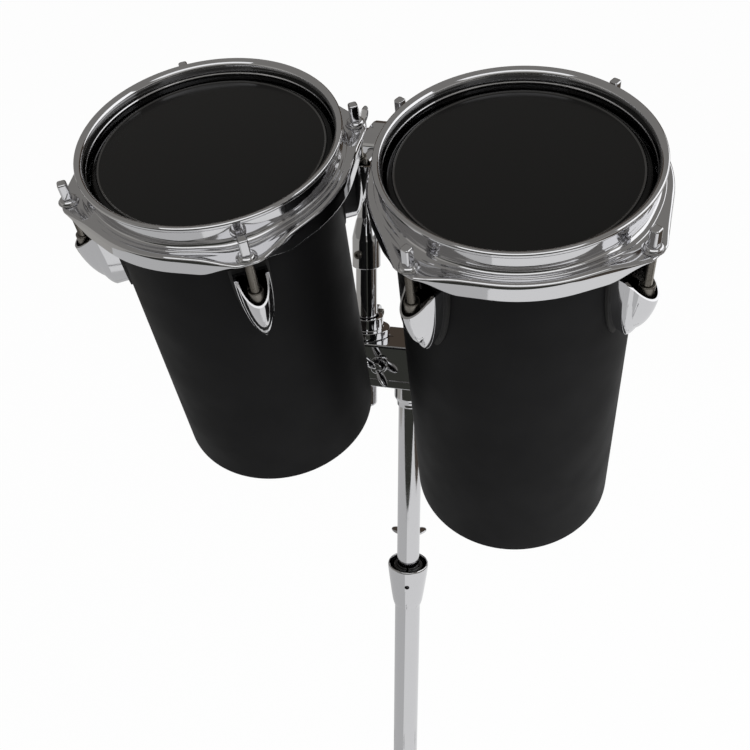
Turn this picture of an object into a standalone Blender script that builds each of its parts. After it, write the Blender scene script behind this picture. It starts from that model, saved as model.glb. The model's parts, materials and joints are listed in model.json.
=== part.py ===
"""A pair of small octoban drums on a double holder and a braced tripod stand.

Numbers are millimetres above the floor and from the stand's centre tube; the helpers turn them into metres.
"""
import math

import bmesh
import bpy
from mathutils import Matrix, Vector

MM = 0.001
GAP = 0.3

# Drums: heights h are measured along a drum's own axis from the top of its hoop.
SHELL_RADIUS = 76.2
SHELL_WALL = 4.0
TILT = math.radians(28.56)
LEAN = math.radians(2.14)
LIP_HEIGHT = 1000.0
LIP_FORWARD = 250.0
HOOP_RADIUS = 90.0
EAR_RADIUS = 100.0
ROD_CIRCLE = 94.1
LUG_RIM = -52.0
LUG_TIP = -104.0
LUG_HALF_WIDTH = 10.6
LUG_BASE_OUT = 86.0
LUG_REACH = 105.5
ARM_ROD_RADIUS = 5.25
ARM_CIRCLE = 104.0
BRACKET_TOP = -88.0
BRACKET_BOTTOM = -136.0

# Stand
TUBE_BACK = 86.3
UPPER_TUBE_RADIUS = 11.1
LOWER_TUBE_RADIUS = 12.7
LOWER_TUBE_BORE = 11.6
POST_X = 42.5
POST_RADIUS = 9.55
POST_BORE = 9.9
POST_BOTTOM = 710.0
HINGE_HEIGHT = 959.0
BLOCK_HALF_WIDTH = 10.5
BLOCK_HALF_LENGTH = 17.0
TILTER_HALF_HEIGHT = 13.5
TILTER_CORNER = 10.0
YOKE_TOP = 8.0
TRUNNION_RADIUS = 5.0
TILTER_WING_TURN = -35.0
PLATFORM_WING_TURN = -48.0
LOCK_TURN = 85.0
PLATFORM_TOP = 783.0
PLATFORM_BOTTOM = 743.0
PLATFORM_HALF_DEPTH = 26.5
PINCH_X = 23.0
CUP_RIM = 543.0
CUP_BOTTOM = 494.0
CLAMP_AZIMUTH = math.radians(103.0)
CLAMP_HEIGHT = 556.0

# Tripod
LEG_PIVOT_RADIUS = 26.0
LEG_PIVOT_HEIGHT = 256.0
FOOT_CIRCLE = 345.0
FOOT_BALL = 13.0
FOOT_CENTRE_HEIGHT = 9.0
LEG_RADIUS = 6.0
BRACE_PIVOT_HEIGHT = 62.0
BRACE_ALONG_LEG = 200.0
LEG_AZIMUTHS = (-90.0, 30.0, 150.0)
HUB_BOLT_AZIMUTH = 90.0

SIDES = {
    "left": {
        "lip_x": -71.9,
        "shell_end": -272.5,
        "first_lug": 31.4,
        "bracket": 75.4,
        "post_x": -POST_X,
    },
    "right": {
        "lip_x": 121.5,
        "shell_end": -326.5,
        "first_lug": 59.6,
        "bracket": 105.6,
        "post_x": POST_X,
    },
}

for old in list(bpy.data.objects):
    bpy.data.objects.remove(old, do_unlink=True)
PARTS = bpy.data.collections.new("octoban_pair")
bpy.context.scene.collection.children.link(PARTS)


# Materials
def finish(name, colour, metallic, roughness):
    material = bpy.data.materials.new(name)
    material.use_nodes = True
    shader = material.node_tree.nodes["Principled BSDF"]
    shader.inputs["Base Color"].default_value = (*colour, 1.0)
    shader.inputs["Metallic"].default_value = metallic
    shader.inputs["Roughness"].default_value = roughness
    material.diffuse_color = (*colour, 1.0)
    return material


CHROME = finish("chrome", (0.62, 0.62, 0.62), 1.0, 0.08)
SHELL_BLACK = finish("matt_black_shell", (0.009, 0.009, 0.009), 0.0, 0.6)
FILM_BLACK = finish("black_film", (0.010, 0.010, 0.010), 0.0, 0.3)
NYLON = finish("dark_nylon", (0.03, 0.03, 0.03), 0.0, 0.5)
RUBBER = finish("black_rubber", (0.012, 0.012, 0.012), 0.0, 0.8)


# Helpers
def point(x, y, z):
    return Vector((x * MM, y * MM, z * MM))


def shift(x, y, z):
    return Matrix.Translation(point(x, y, z))


def turn(degrees, axis):
    return Matrix.Rotation(math.radians(degrees), 4, axis)


def new_object(data, name="work"):
    thing = bpy.data.objects.new(name, data)
    PARTS.objects.link(thing)
    return thing


def baked(thing):
    """The object's mesh with its modifiers applied."""
    bpy.context.view_layer.update()
    graph = bpy.context.evaluated_depsgraph_get()
    mesh = bpy.data.meshes.new_from_object(thing.evaluated_get(graph))
    bpy.data.objects.remove(thing, do_unlink=True)
    return mesh


def turned(profile, steps=24, place=None):
    """A profile of (radius, height) points turned about Z: down the outside, then up the bore."""
    mesh = bpy.data.meshes.new("profile")
    last = len(profile) - 1
    edges = [(i, i + 1) for i in range(last)]
    if all(radius > 0 for radius, _ in profile):
        edges.append((last, 0))
    mesh.from_pydata([point(radius, 0, height) for radius, height in profile], edges, [])
    thing = new_object(mesh)
    screw = thing.modifiers.new("Turn", "SCREW")
    screw.steps = steps
    screw.render_steps = steps
    screw.use_merge_vertices = True
    screw.merge_threshold = 0.00001
    mesh = baked(thing)
    if place is not None:
        mesh.transform(place)
    return mesh


def cylinder(radius, bottom, top, steps=16, place=None):
    return turned([(0, top), (radius, top), (radius, bottom), (0, bottom)], steps, place)


def block(low, high, bevel=0.0, place=None):
    """A box between two corners, its edges rounded by the bevel width."""
    centre = [(a + b) / 2 for a, b in zip(low, high)]
    mesh = bpy.data.meshes.new("block")
    shape = bmesh.new()
    bmesh.ops.create_cube(shape, size=1.0)
    for vert in shape.verts:
        vert.co = point(*[c + v * (b - a) for c, v, a, b in zip(centre, vert.co, low, high)])
    shape.to_mesh(mesh)
    shape.free()
    if bevel:
        thing = new_object(mesh)
        rounding = thing.modifiers.new("Round", "BEVEL")
        rounding.width = bevel * MM
        rounding.segments = 1
        mesh = baked(thing)
    if place is not None:
        mesh.transform(place)
    return mesh


def plate(outline, bottom, top, place=None):
    """A flat outline of (x, y) points, filled and extruded from bottom to top."""
    curve = bpy.data.curves.new("outline", "CURVE")
    curve.dimensions = "2D"
    curve.fill_mode = "BOTH"
    curve.extrude = (top - bottom) / 2 * MM
    spline = curve.splines.new("POLY")
    spline.points.add(len(outline) - 1)
    for corner, (x, y) in zip(spline.points, outline):
        corner.co = (x * MM, y * MM, 0.0, 1.0)
    spline.use_cyclic_u = True
    mesh = welded(baked(new_object(curve)))
    mesh.transform(shift(0, 0, (top + bottom) / 2))
    if place is not None:
        mesh.transform(place)
    return mesh


def welded(mesh):
    """A curve's mesh with its loose caps joined on and its faces pointing outwards."""
    shape = bmesh.new()
    shape.from_mesh(mesh)
    bmesh.ops.remove_doubles(shape, verts=shape.verts, dist=0.00001)
    bmesh.ops.recalc_face_normals(shape, faces=shape.faces)
    shape.to_mesh(mesh)
    shape.free()
    return mesh


def pipe(route, radius, resolution=2):
    """A round bar along a list of points."""
    curve = bpy.data.curves.new("route", "CURVE")
    curve.dimensions = "3D"
    curve.bevel_depth = radius * MM
    curve.bevel_resolution = resolution
    curve.use_fill_caps = True
    spline = curve.splines.new("POLY")
    spline.points.add(len(route) - 1)
    for knot, place in zip(spline.points, route):
        knot.co = (*point(*place), 1.0)
    return welded(baked(new_object(curve)))


def combine(mesh, *steps):
    """The mesh after each ("UNION" or "DIFFERENCE", mesh) step in turn."""
    for operation, other in steps:
        thing = new_object(mesh)
        tool = new_object(other)
        change = thing.modifiers.new("Combine", "BOOLEAN")
        change.operation = operation
        change.solver = "EXACT"
        change.object = tool
        mesh = baked(thing)
        bpy.data.objects.remove(tool, do_unlink=True)
    return simplified(mesh)


def simplified(mesh):
    """The mesh with the flat faces that cuts have split made whole again."""
    shape = bmesh.new()
    shape.from_mesh(mesh)
    bmesh.ops.dissolve_limit(shape, angle_limit=math.radians(0.3), verts=shape.verts, edges=shape.edges)
    shape.to_mesh(mesh)
    shape.free()
    return mesh


def part(name, mesh, material, place, carrier=None):
    """A finished sub-part, at its place in the stand and riding on its joint's empty."""
    mesh = mesh.copy()
    mesh.name = name
    mesh.materials.clear()
    mesh.materials.append(material)
    mesh.shade_smooth()
    mesh.set_sharp_from_angle(angle=math.radians(35))
    thing = new_object(mesh, name)
    thing.matrix_world = place
    ride(thing, carrier)
    return thing


def ride(thing, carrier):
    if carrier is None:
        return
    bpy.context.view_layer.update()
    thing.parent = carrier
    thing.matrix_parent_inverse = carrier.matrix_world.inverted()


def joint(name, place, carrier=None):
    """An empty on a joint's axis, which carries what turns or slides there."""
    empty = bpy.data.objects.new(name, None)
    empty.empty_display_size = 0.03
    PARTS.objects.link(empty)
    empty.matrix_world = place
    ride(empty, carrier)
    return empty


def arc(centre_x, centre_y, radius, start, end, count):
    """Points on an arc, angles in degrees."""
    points = []
    for i in range(count + 1):
        angle = math.radians(start + (end - start) * i / count)
        points.append((centre_x + radius * math.cos(angle), centre_y + radius * math.sin(angle)))
    return points


STAND = shift(0, TUBE_BACK, 0)


# Drum pieces, each in its drum's own frame
def shell_mesh(end):
    inner = SHELL_RADIUS - SHELL_WALL
    profile = [
        (73.6, -13.4),
        (SHELL_RADIUS, -15.6),
        (SHELL_RADIUS, end + 0.8),
        (SHELL_RADIUS - 0.8, end),
        (inner, end),
        (inner, -15.4),
    ]
    return turned(profile, 32)


def head_mesh():
    """Film, its rounded collar and the flesh hoop that the hoop pulls down."""
    profile = [
        (0, -11.2),
        (72.8, -11.2),
        (76.4, -12.4),
        (78.2, -15.2),
        (78.4, -21.4),
        (83.2, -21.6),
        (83.2, -26.8),
        (76.9, -26.8),
        (76.8, -15.5),
        (72.8, -12.3),
        (0, -12.3),
    ]
    return turned(profile, 32)


def hoop_profile():
    """Points down the outside of the triple flange and back up the inside.

    Each is radius, height, then the radius and height that it takes in the middle of an ear.
    """
    return [
        (80.8, 0.0, 80.8, 0.0),
        (84.2, -0.4, 84.2, -0.4),
        (84.0, -3.0, 84.0, -3.0),
        (81.5, -4.6, 81.5, -4.6),
        (81.5, -15.9, 81.5, -16.2),
        (82.6, -17.2, 84.4, -20.3),
        (88.4, -18.0, 97.6, -20.5),
        (HOOP_RADIUS, -21.6, EAR_RADIUS, -21.6),
        (HOOP_RADIUS, -30.6, EAR_RADIUS, -24.6),
        (87.9, -30.9, 97.8, -24.9),
        (87.6, -21.9, 97.6, -23.4),
        (86.6, -20.2, 87.4, -22.9),
        (79.3, -19.0, 79.3, -20.0),
        (79.3, -1.4, 79.3, -1.4),
    ]


def hoop_mesh(first_lug):
    """The flanged hoop: turned, then its skirt pulled out and up into four ears."""
    profile = hoop_profile()
    mesh = turned([(radius, height) for radius, height, _, _ in profile], 40)
    flat = math.radians(7.5)
    slope = math.radians(12.5)
    crowding = math.radians(6.0)
    quarter = math.pi / 2
    for vert in mesh.vertices:
        radius = vert.co.xy.length / MM
        height = vert.co.z / MM
        angle = math.atan2(vert.co.y, vert.co.x)
        off = (angle + math.pi / 4) % quarter - math.pi / 4
        angle -= crowding * math.sin(4 * off)
        off -= crowding * math.sin(4 * off)
        blend = min(max((slope + flat - abs(off)) / slope, 0.0), 1.0)
        blend = blend * blend * (3 - 2 * blend)
        near = min(profile, key=lambda p: (p[0] - radius) ** 2 + (p[1] - height) ** 2)
        radius += (near[2] - near[0]) * blend
        height += (near[3] - near[1]) * blend
        vert.co = point(radius * math.cos(angle), radius * math.sin(angle), height)
    holes = []
    for k in range(4):
        place = turn(90 * k, "Z") @ shift(ROD_CIRCLE, 0, 0)
        holes.append(("DIFFERENCE", cylinder(3.3, -30, -15, 8, place)))
    mesh = combine(mesh, *holes)
    mesh.transform(turn(first_lug, "Z"))
    return mesh


def rod_mesh():
    """A square-headed tension rod with its washer, at a rod's place on the circle."""
    shaft = turned(
        [(0, -17.2), (4.8, -17.2), (5.6, -20.0), (2.7, -20.0), (2.7, -70.0), (0, -70.0)],
        8,
    )
    head = block((-2.85, -2.85, -17.6), (2.85, 2.85, -5.1), 0.8)
    mesh = combine(shaft, ("UNION", head))
    mesh.transform(shift(ROD_CIRCLE, 0, 0))
    return mesh


def bullet_width(share):
    """The lug's half width as a share of the rim's, from share 0 at the rim to 1 at the tip."""
    return (1 - share**2.2) ** 0.62


def bullet(half_width, depth, rim, tip, steps):
    """Half of a bullet-shaped bowl, its flat side on x = 0."""
    shares = (0.0, 0.45, 0.8, 1.0)
    profile = [(0, rim)]
    for share in shares:
        profile.append((half_width * bullet_width(share), rim + (tip - rim) * share))
    mesh = turned(profile, steps)
    mesh.transform(Matrix.Diagonal((depth / half_width, 1, 1, 1)))
    shape = bmesh.new()
    shape.from_mesh(mesh)
    everything = list(shape.verts) + list(shape.edges) + list(shape.faces)
    cut = bmesh.ops.bisect_plane(shape, geom=everything, plane_no=(-1, 0, 0), clear_outer=True)
    rim_edges = [e for e in cut["geom_cut"] if isinstance(e, bmesh.types.BMEdge)]
    bmesh.ops.contextual_create(shape, geom=rim_edges)
    bmesh.ops.recalc_face_normals(shape, faces=shape.faces)
    shape.to_mesh(mesh)
    shape.free()
    return mesh


def bullet_outline(half_width, rim, tip):
    """The same outline as a flat (y, h) shape."""
    shares = (0.0, 0.45, 0.8)
    side = [(half_width * bullet_width(s), rim + (tip - rim) * s) for s in shares]
    return side + [(0, tip)] + [(-y, h) for y, h in reversed(side)]


def upright(outline, inner, outer):
    """A (y, h) outline extruded outwards from the shell between two radii."""
    return plate(outline, inner, outer, Matrix(((0, 0, 1, 0), (1, 0, 0, 0), (0, 1, 0, 0), (0, 0, 0, 1))))


def lug_mesh():
    """The half-bullet lug: base against the shell, open bowl, web and swivel nut."""
    wall = 1.8
    hollow_back = 81.0
    bowl_depth = LUG_REACH - LUG_BASE_OUT
    base = upright(bullet_outline(LUG_HALF_WIDTH + 0.5, LUG_RIM, LUG_TIP), 77.3, LUG_BASE_OUT)
    bowl = bullet(LUG_HALF_WIDTH - 0.3, bowl_depth + 0.6, LUG_RIM - 0.3, LUG_TIP + 0.4, 10)
    bowl.transform(shift(LUG_BASE_OUT - 0.6, 0, 0))
    hollow = bullet(LUG_HALF_WIDTH - wall, LUG_REACH - wall - hollow_back, LUG_RIM + 2, LUG_TIP + 5, 6)
    hollow.transform(shift(hollow_back, 0, 0))
    web = block((hollow_back - 1, -LUG_HALF_WIDTH + 1.6, -64), (100, LUG_HALF_WIDTH - 1.6, -61))
    nut = cylinder(4.4, -67, -49, 8, shift(ROD_CIRCLE, 0, 0))
    bore = cylinder(3.2, -72, -40, 8, shift(ROD_CIRCLE, 0, 0))
    return combine(
        base,
        ("UNION", bowl),
        ("DIFFERENCE", hollow),
        ("UNION", web),
        ("UNION", nut),
        ("DIFFERENCE", bore),
    )


def bracket_mesh():
    """The clamp on the shell's back that holds the arm's upright end."""
    saddle = block((72, -16, BRACKET_BOTTOM - 6), (82, 16, BRACKET_TOP + 6), 2.0)
    shell_side = cylinder(SHELL_RADIUS + GAP, -170, -60, 72)
    neck = block((80, -8, BRACKET_BOTTOM + 2), (ARM_CIRCLE, 8, BRACKET_TOP - 2), 1.5)
    sleeve = cylinder(11.5, BRACKET_BOTTOM, BRACKET_TOP, 12, shift(ARM_CIRCLE, 0, 0))
    middle = (BRACKET_TOP + BRACKET_BOTTOM) / 2
    along_x = shift(0, 0, middle) @ turn(90, "Y")
    boss = cylinder(7.5, ARM_CIRCLE + 4, ARM_CIRCLE + 15, 10, along_x)
    screw_hole = cylinder(3.3, ARM_CIRCLE, ARM_CIRCLE + 20, 8, along_x)
    bore = cylinder(ARM_ROD_RADIUS + 0.45, BRACKET_BOTTOM - 5, BRACKET_TOP + 5, 12, shift(ARM_CIRCLE, 0, 0))
    return combine(
        saddle,
        ("DIFFERENCE", shell_side),
        ("UNION", neck),
        ("UNION", sleeve),
        ("UNION", boss),
        ("DIFFERENCE", screw_hole),
        ("DIFFERENCE", bore),
    )


def wing_mesh(shaft_length, shaft_radius=2.9):
    """A wing bolt along Z: swept ears above z = 0, threaded shaft below."""
    profile = [
        (0, 9.0),
        (4.8, 9.0),
        (6.2, GAP),
        (shaft_radius, GAP),
        (shaft_radius, -shaft_length),
        (0, -shaft_length),
    ]
    mesh = turned(profile, 8)
    for side in (-1, 1):
        shape = bmesh.new()
        bmesh.ops.create_uvsphere(shape, u_segments=5, v_segments=4, radius=MM)
        ear = bpy.data.meshes.new("ear")
        shape.to_mesh(ear)
        shape.free()
        ear.transform(Matrix.Diagonal((6.2, 1.7, 10.2, 1)))
        ear.transform(shift(side * 9.6, 0, 12.0) @ turn(side * 48, "Y"))
        mesh = combine(mesh, ("UNION", ear))
    return mesh


# Stand pieces, each in the stand's frame
def stadium(half_length, radius):
    """The outline of a bar with round ends."""
    return arc(half_length, 0, radius, -90, 90, 7) + arc(-half_length, 0, radius, 90, 270, 7)


def platform_mesh():
    """The cast holder: two post bores with pinch slits, and the socket for the upper tube."""
    body = plate(stadium(POST_X, PLATFORM_HALF_DEPTH), PLATFORM_BOTTOM + 2, PLATFORM_TOP)
    thing = new_object(body)
    rounding = thing.modifiers.new("Round", "BEVEL")
    rounding.width = 1.6 * MM
    rounding.segments = 1
    rounding.angle_limit = math.radians(50)
    body = baked(thing)
    lip = plate(stadium(POST_X, PLATFORM_HALF_DEPTH + 1.0), PLATFORM_BOTTOM, PLATFORM_BOTTOM + 7.5)
    socket = turned([(0, 745), (15.2, 745), (15.2, 725.5), (12.6, 722), (12.6, 717), (0, 717)], 16)
    steps = [("UNION", lip), ("UNION", socket)]
    for side in (-1, 1):
        pinch = shift(side * PINCH_X, 0, 765) @ turn(90, "X")
        steps.append(("UNION", cylinder(8.0, -40, -20, 8, pinch)))
        steps.append(("UNION", cylinder(8.0, 20, 29, 8, pinch)))
        steps.append(("DIFFERENCE", cylinder(POST_BORE, 730, 800, 16, shift(side * POST_X, 0, 0))))
        inner, outer = sorted((side * 17.0, side * 40.0))
        steps.append(("DIFFERENCE", block((inner, -0.8, 735), (outer, 0.8, 790))))
        steps.append(("DIFFERENCE", cylinder(3.3, -45, 45, 8, pinch)))
    steps.append(("DIFFERENCE", cylinder(UPPER_TUBE_RADIUS + 0.4, 700, 775, 20)))
    steps.append(("DIFFERENCE", block((-17, -0.8, 700), (-10, 0.8, 742), 0.0, turn(40, "Z"))))
    return combine(body, *steps)


def upper_tube_mesh():
    outer = UPPER_TUBE_RADIUS
    inner = outer - 1.5
    return turned([(outer, 774.5), (outer, 330), (inner, 330), (inner, 774.5)], 18)


def lower_tube_mesh():
    outer, inner = LOWER_TUBE_RADIUS, LOWER_TUBE_BORE
    return turned([(outer, 520), (outer, 40), (inner, 40), (inner, 520)], 18)


def cup_mesh():
    """The height clamp's flared cup on the lower tube, with the boss for its wing bolt."""
    profile = [
        (19.0, CUP_RIM + 0.6),
        (20.0, CUP_RIM - 0.6),
        (20.0, CUP_RIM - 3.0),
        (18.6, 527),
        (16.4, 510),
        (14.6, 497),
        (13.05, CUP_BOTTOM),
        (13.05, 521.0),
        (15.0, 521.5),
        (17.6, 533),
        (18.2, CUP_RIM - 0.2),
    ]
    to_bolt = turn(math.degrees(CLAMP_AZIMUTH), "Z")
    boss = block((17.0, -7.0, 524), (26.0, 7.0, 564), 2.0, to_bolt)
    screw_hole = cylinder(3.3, 10, 32, 8, to_bolt @ shift(0, 0, CLAMP_HEIGHT) @ turn(90, "Y"))
    sight_hole = cylinder(2.5, 10, 25, 10, turn(-92, "Z") @ shift(0, 0, 513) @ turn(90, "Y"))
    cup = turned(profile, 16)
    return combine(cup, ("UNION", boss), ("DIFFERENCE", screw_hole), ("DIFFERENCE", sight_hole))


def bushing_mesh():
    """The split nylon sleeve that the cup squeezes onto the upper tube."""
    inner = UPPER_TUBE_RADIUS + 0.35
    sleeve = turned([(14.4, 555), (14.4, 522), (inner, 522), (inner, 555)], 20)
    slit = block((8, -1.3, 515), (18, 1.3, 560), 0.0, turn(-80, "Z"))
    return combine(sleeve, ("DIFFERENCE", slit))


def post_mesh():
    profile = [
        (0, 873.5),
        (POST_RADIUS, 873.5),
        (POST_RADIUS, POST_BOTTOM + 4),
        (POST_RADIUS - 3, POST_BOTTOM),
        (0, POST_BOTTOM),
    ]
    return turned(profile, 16)


def memory_lock_mesh():
    """The flanged lock ring that rests on the platform, with its upright pinch ear."""
    seat = PLATFORM_TOP + GAP
    ring = turned([(15.2, 801), (15.2, 790.2), (21.5, 790.2), (21.5, seat), (11.5, seat), (11.5, 801)], 16)
    outline = [(12, 786), (26, 786)] + arc(19.5, 799, 6.5, 0, 180, 5) + [(12, 798)]
    ear = plate(outline, -5.5, 5.5, Matrix(((1, 0, 0, 0), (0, 0, -1, 0), (0, 1, 0, 0), (0, 0, 0, 1))))
    bore = cylinder(POST_BORE, 770, 830, 16)
    slit = block((5, -0.8, 770), (30, 0.8, 830))
    screw_hole = cylinder(2.6, -12, 12, 8, shift(20, 0, 798) @ turn(90, "X"))
    return combine(
        ring,
        ("UNION", ear),
        ("DIFFERENCE", bore),
        ("DIFFERENCE", slit),
        ("DIFFERENCE", screw_hole),
    )


def tilter_body(half_length, top, rear_corner, left, right):
    """A bar along the hinge whose section has round corners, a smaller one at the top of its rear."""
    low = TILTER_CORNER - TILTER_HALF_HEIGHT
    across = half_length - TILTER_CORNER
    outline = arc(half_length - rear_corner, top - rear_corner, rear_corner, 0, 90, 3)
    outline += arc(-across, top - TILTER_CORNER, TILTER_CORNER, 90, 180, 4)
    outline += arc(-across, low, TILTER_CORNER, 180, 270, 4)
    outline += arc(across, low, TILTER_CORNER, 270, 360, 4)
    return plate(outline, left, right, Matrix(((0, 0, 1, 0), (1, 0, 0, 0), (0, 1, 0, 0), (0, 0, 0, 1))))


def yoke_mesh(inner_face):
    """The tilter's base on the post: collar, dome, neck and the split head round the trunnion.

    Its frame has X along the hinge, Z up and the hinge axis at height 0.
    """
    drop = -HINGE_HEIGHT
    stem = turned(
        [
            (0, -10),
            (8.0, -10),
            (8.0, 893 + drop),
            (9.4, 889 + drop),
            (11.8, 879 + drop),
            (12.75, 874 + drop),
            (12.75, 847.5 + drop),
            (0, 847.5 + drop),
        ],
        14,
    )
    head = tilter_body(15, YOKE_TOP, 1.5, -20, inner_face)
    along_x = turn(90, "Y")
    trunnion_bore = cylinder(TRUNNION_RADIUS + 0.5, -30, 30, 12, along_x)
    slit = block((-25, 5, -0.8), (20, 20, 0.8))
    clearance = block((inner_face, -20, -27), (30, 20, 20))
    bolt_hole = cylinder(3.0, -8, 25, 8, shift(-13, 10.6, 0))
    socket = cylinder(POST_BORE, 840 + drop, 874 + drop, 16)
    return combine(
        stem,
        ("UNION", head),
        ("DIFFERENCE", clearance),
        ("DIFFERENCE", trunnion_bore),
        ("DIFFERENCE", slit),
        ("DIFFERENCE", bolt_hole),
        ("DIFFERENCE", socket),
    )


def tilt_block_mesh():
    """The block that turns on the yoke and holds the arm; X along the hinge, Y away from the drum."""
    width, length = BLOCK_HALF_WIDTH, BLOCK_HALF_LENGTH
    body = tilter_body(length, TILTER_HALF_HEIGHT, TILTER_CORNER, -width, width)
    trunnion = cylinder(TRUNNION_RADIUS, -width - 26, -width + 4, 12, turn(90, "Y"))
    rod_bore = cylinder(ARM_ROD_RADIUS + 0.45, 5.0, length + 5, 12, turn(90, "X"))
    return combine(body, ("UNION", trunnion), ("DIFFERENCE", rod_bore))


def arm_mesh(block_radius, leg_height):
    """The L-shaped rod, in the plane of the drum's bracket: x out from the drum, z along its axis."""
    bend = 14.0
    start = block_radius - 5.5
    corner = arc(ARM_CIRCLE + bend, leg_height + bend, bend, 270, 180, 4)
    route = [(start, 0, leg_height)]
    route += [(x, 0, z) for x, z in corner]
    route += [(ARM_CIRCLE, 0, BRACKET_TOP + 16)]
    return pipe(route, ARM_ROD_RADIUS)


# Tripod pieces, in the frame of one leg: X outwards
def leg_angle():
    drop = LEG_PIVOT_HEIGHT - FOOT_CENTRE_HEIGHT
    return math.atan2(FOOT_CIRCLE - LEG_PIVOT_RADIUS, drop)


def along_leg(distance):
    angle = leg_angle()
    return (
        LEG_PIVOT_RADIUS + distance * math.sin(angle),
        LEG_PIVOT_HEIGHT - distance * math.cos(angle),
    )


def cross_pin(x, z, half_length):
    return cylinder(2.5, -half_length, half_length, 8, shift(x, 0, z) @ turn(90, "X"))


def leg_mesh():
    """A leg tube with the pin that it turns on."""
    length = math.hypot(FOOT_CIRCLE - LEG_PIVOT_RADIUS, LEG_PIVOT_HEIGHT - FOOT_CENTRE_HEIGHT)
    top_x, top_z = along_leg(1.5)
    end_x, end_z = along_leg(length - 8)
    tube = pipe([(top_x, 0, top_z), (end_x, 0, end_z)], LEG_RADIUS)
    pivot = cross_pin(LEG_PIVOT_RADIUS, LEG_PIVOT_HEIGHT, 10.4)
    return combine(tube, ("UNION", pivot))


def foot_mesh():
    """The rubber foot: a ball with a flat tread and a sleeve up the leg."""
    shape = bmesh.new()
    bmesh.ops.create_uvsphere(shape, u_segments=10, v_segments=6, radius=FOOT_BALL * MM)
    ball = bpy.data.meshes.new("ball")
    shape.to_mesh(ball)
    shape.free()
    ball.transform(shift(FOOT_CIRCLE, 0, FOOT_CENTRE_HEIGHT))
    down_leg = shift(FOOT_CIRCLE, 0, FOOT_CENTRE_HEIGHT) @ turn(-math.degrees(leg_angle()), "Y")
    sleeve = cylinder(9.0, 4, 34, 10, down_leg)
    bore = cylinder(LEG_RADIUS + 0.6, 7.6, 50, 10, down_leg)
    floor = block((250, -50, -50), (450, 50, 0))
    return combine(ball, ("UNION", sleeve), ("DIFFERENCE", bore), ("DIFFERENCE", floor))


def brace_mesh():
    """A strap brace: two flat bars joined near the spider, with rivet heads where they meet the leg."""
    far_x, far_z = along_leg(BRACE_ALONG_LEG)
    run = far_x - LEG_PIVOT_RADIUS
    rise = far_z - BRACE_PIVOT_HEIGHT
    length = math.hypot(run, rise)
    outline = arc(length, 0, 5.5, -90, 90, 3) + arc(0, 0, 5.5, 90, 270, 3)
    stand_up = Matrix(((1, 0, 0, 0), (0, 0, -1, 0), (0, 1, 0, 0), (0, 0, 0, 1)))
    bars = plate(outline, 6.6, 8.6, stand_up)
    tie = block((16, -8.0, -5.0), (24, 8.0, 5.0))
    steps = [("UNION", tie), ("UNION", plate(outline, -8.6, -6.6, stand_up))]
    for inner, outer in ((8.0, 10.0), (-10.0, -8.0)):
        steps.append(("UNION", cylinder(3.8, inner, outer, 8, shift(length, 0, 0) @ turn(90, "X"))))
    steps.append(("DIFFERENCE", cylinder(2.95, -15, 15, 8, turn(90, "X"))))
    mesh = combine(bars, *steps)
    slope = math.degrees(math.atan2(rise, run))
    mesh.transform(shift(LEG_PIVOT_RADIUS, 0, BRACE_PIVOT_HEIGHT) @ turn(-slope, "Y"))
    return mesh


def hub_mesh():
    """The sliding casting at the top of the legs, with a clevis for each; heights from the leg pivots."""
    sleeve = turned([(18.0, 14), (19.0, 13), (19.0, -16), (13.2, -16), (13.2, 14)], 16)
    steps = []
    for azimuth in LEG_AZIMUTHS:
        place = turn(azimuth, "Z")
        steps.append(("UNION", block((16, -10, -11), (33, 10, 11), 0.0, place)))
        steps.append(("DIFFERENCE", block((19.4, -6.4, -18), (40, 6.4, 17), 0.0, place)))
        pin = place @ shift(LEG_PIVOT_RADIUS, 0, 0) @ turn(90, "X")
        steps.append(("DIFFERENCE", cylinder(2.95, -15, 15, 8, pin)))
    bolt = turn(HUB_BOLT_AZIMUTH, "Z") @ turn(90, "Y")
    steps.append(("UNION", cylinder(7.0, 15, 22, 8, bolt)))
    steps.append(("DIFFERENCE", cylinder(3.3, 10, 30, 8, bolt)))
    steps.append(("DIFFERENCE", cylinder(13.2, -30, 30, 16)))
    return combine(sleeve, *steps)


def spider_mesh():
    """The fixed collar low on the tube, with a pinned tongue for each brace; heights from the pivots."""
    sleeve = turned([(16.0, 14), (17.0, 13), (17.0, -14), (13.1, -14), (13.1, 14)], 16)
    steps = []
    for azimuth in LEG_AZIMUTHS:
        place = turn(azimuth, "Z")
        steps.append(("UNION", block((14.5, -6.0, -8), (32, 6.0, 8), 0.0, place)))
        pin = place @ shift(LEG_PIVOT_RADIUS, 0, 0) @ turn(90, "X")
        steps.append(("UNION", cylinder(2.5, -9.6, 9.6, 8, pin)))
    steps.append(("DIFFERENCE", cylinder(13.1, -30, 30, 16)))
    return combine(sleeve, *steps)


# Assembly
def drum_frame(side):
    values = SIDES[side]
    place = shift(values["lip_x"], -LIP_FORWARD, LIP_HEIGHT)
    return STAND @ place @ Matrix.Rotation(TILT, 4, "X") @ Matrix.Rotation(LEAN, 4, "Y")


def arm_frame(side):
    return drum_frame(side) @ turn(SIDES[side]["bracket"], "Z")


def hinge_layout(side):
    """Where the arm passes its post: radius and height in the arm's frame, the hinge point and its axis."""
    frame = arm_frame(side)
    outward = frame.col[0].xyz
    upward = frame.col[2].xyz
    start = frame.translation
    post = (STAND @ shift(SIDES[side]["post_x"], 0, HINGE_HEIGHT)).translation
    level = Vector((outward.x, outward.y, 0)).normalized()
    reach = outward.xy.length
    drop = post.z - start.z
    along = (post - start).dot(level)
    lift = upward.dot(level)
    spread = reach * upward.z - lift * outward.z
    radius = (along * upward.z - lift * drop) / spread
    height = (reach * drop - along * outward.z) / spread
    hinge = start + outward * radius + upward * height
    axis = Vector((level.y, -level.x, 0))
    return radius / MM, height / MM, hinge, axis


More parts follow.
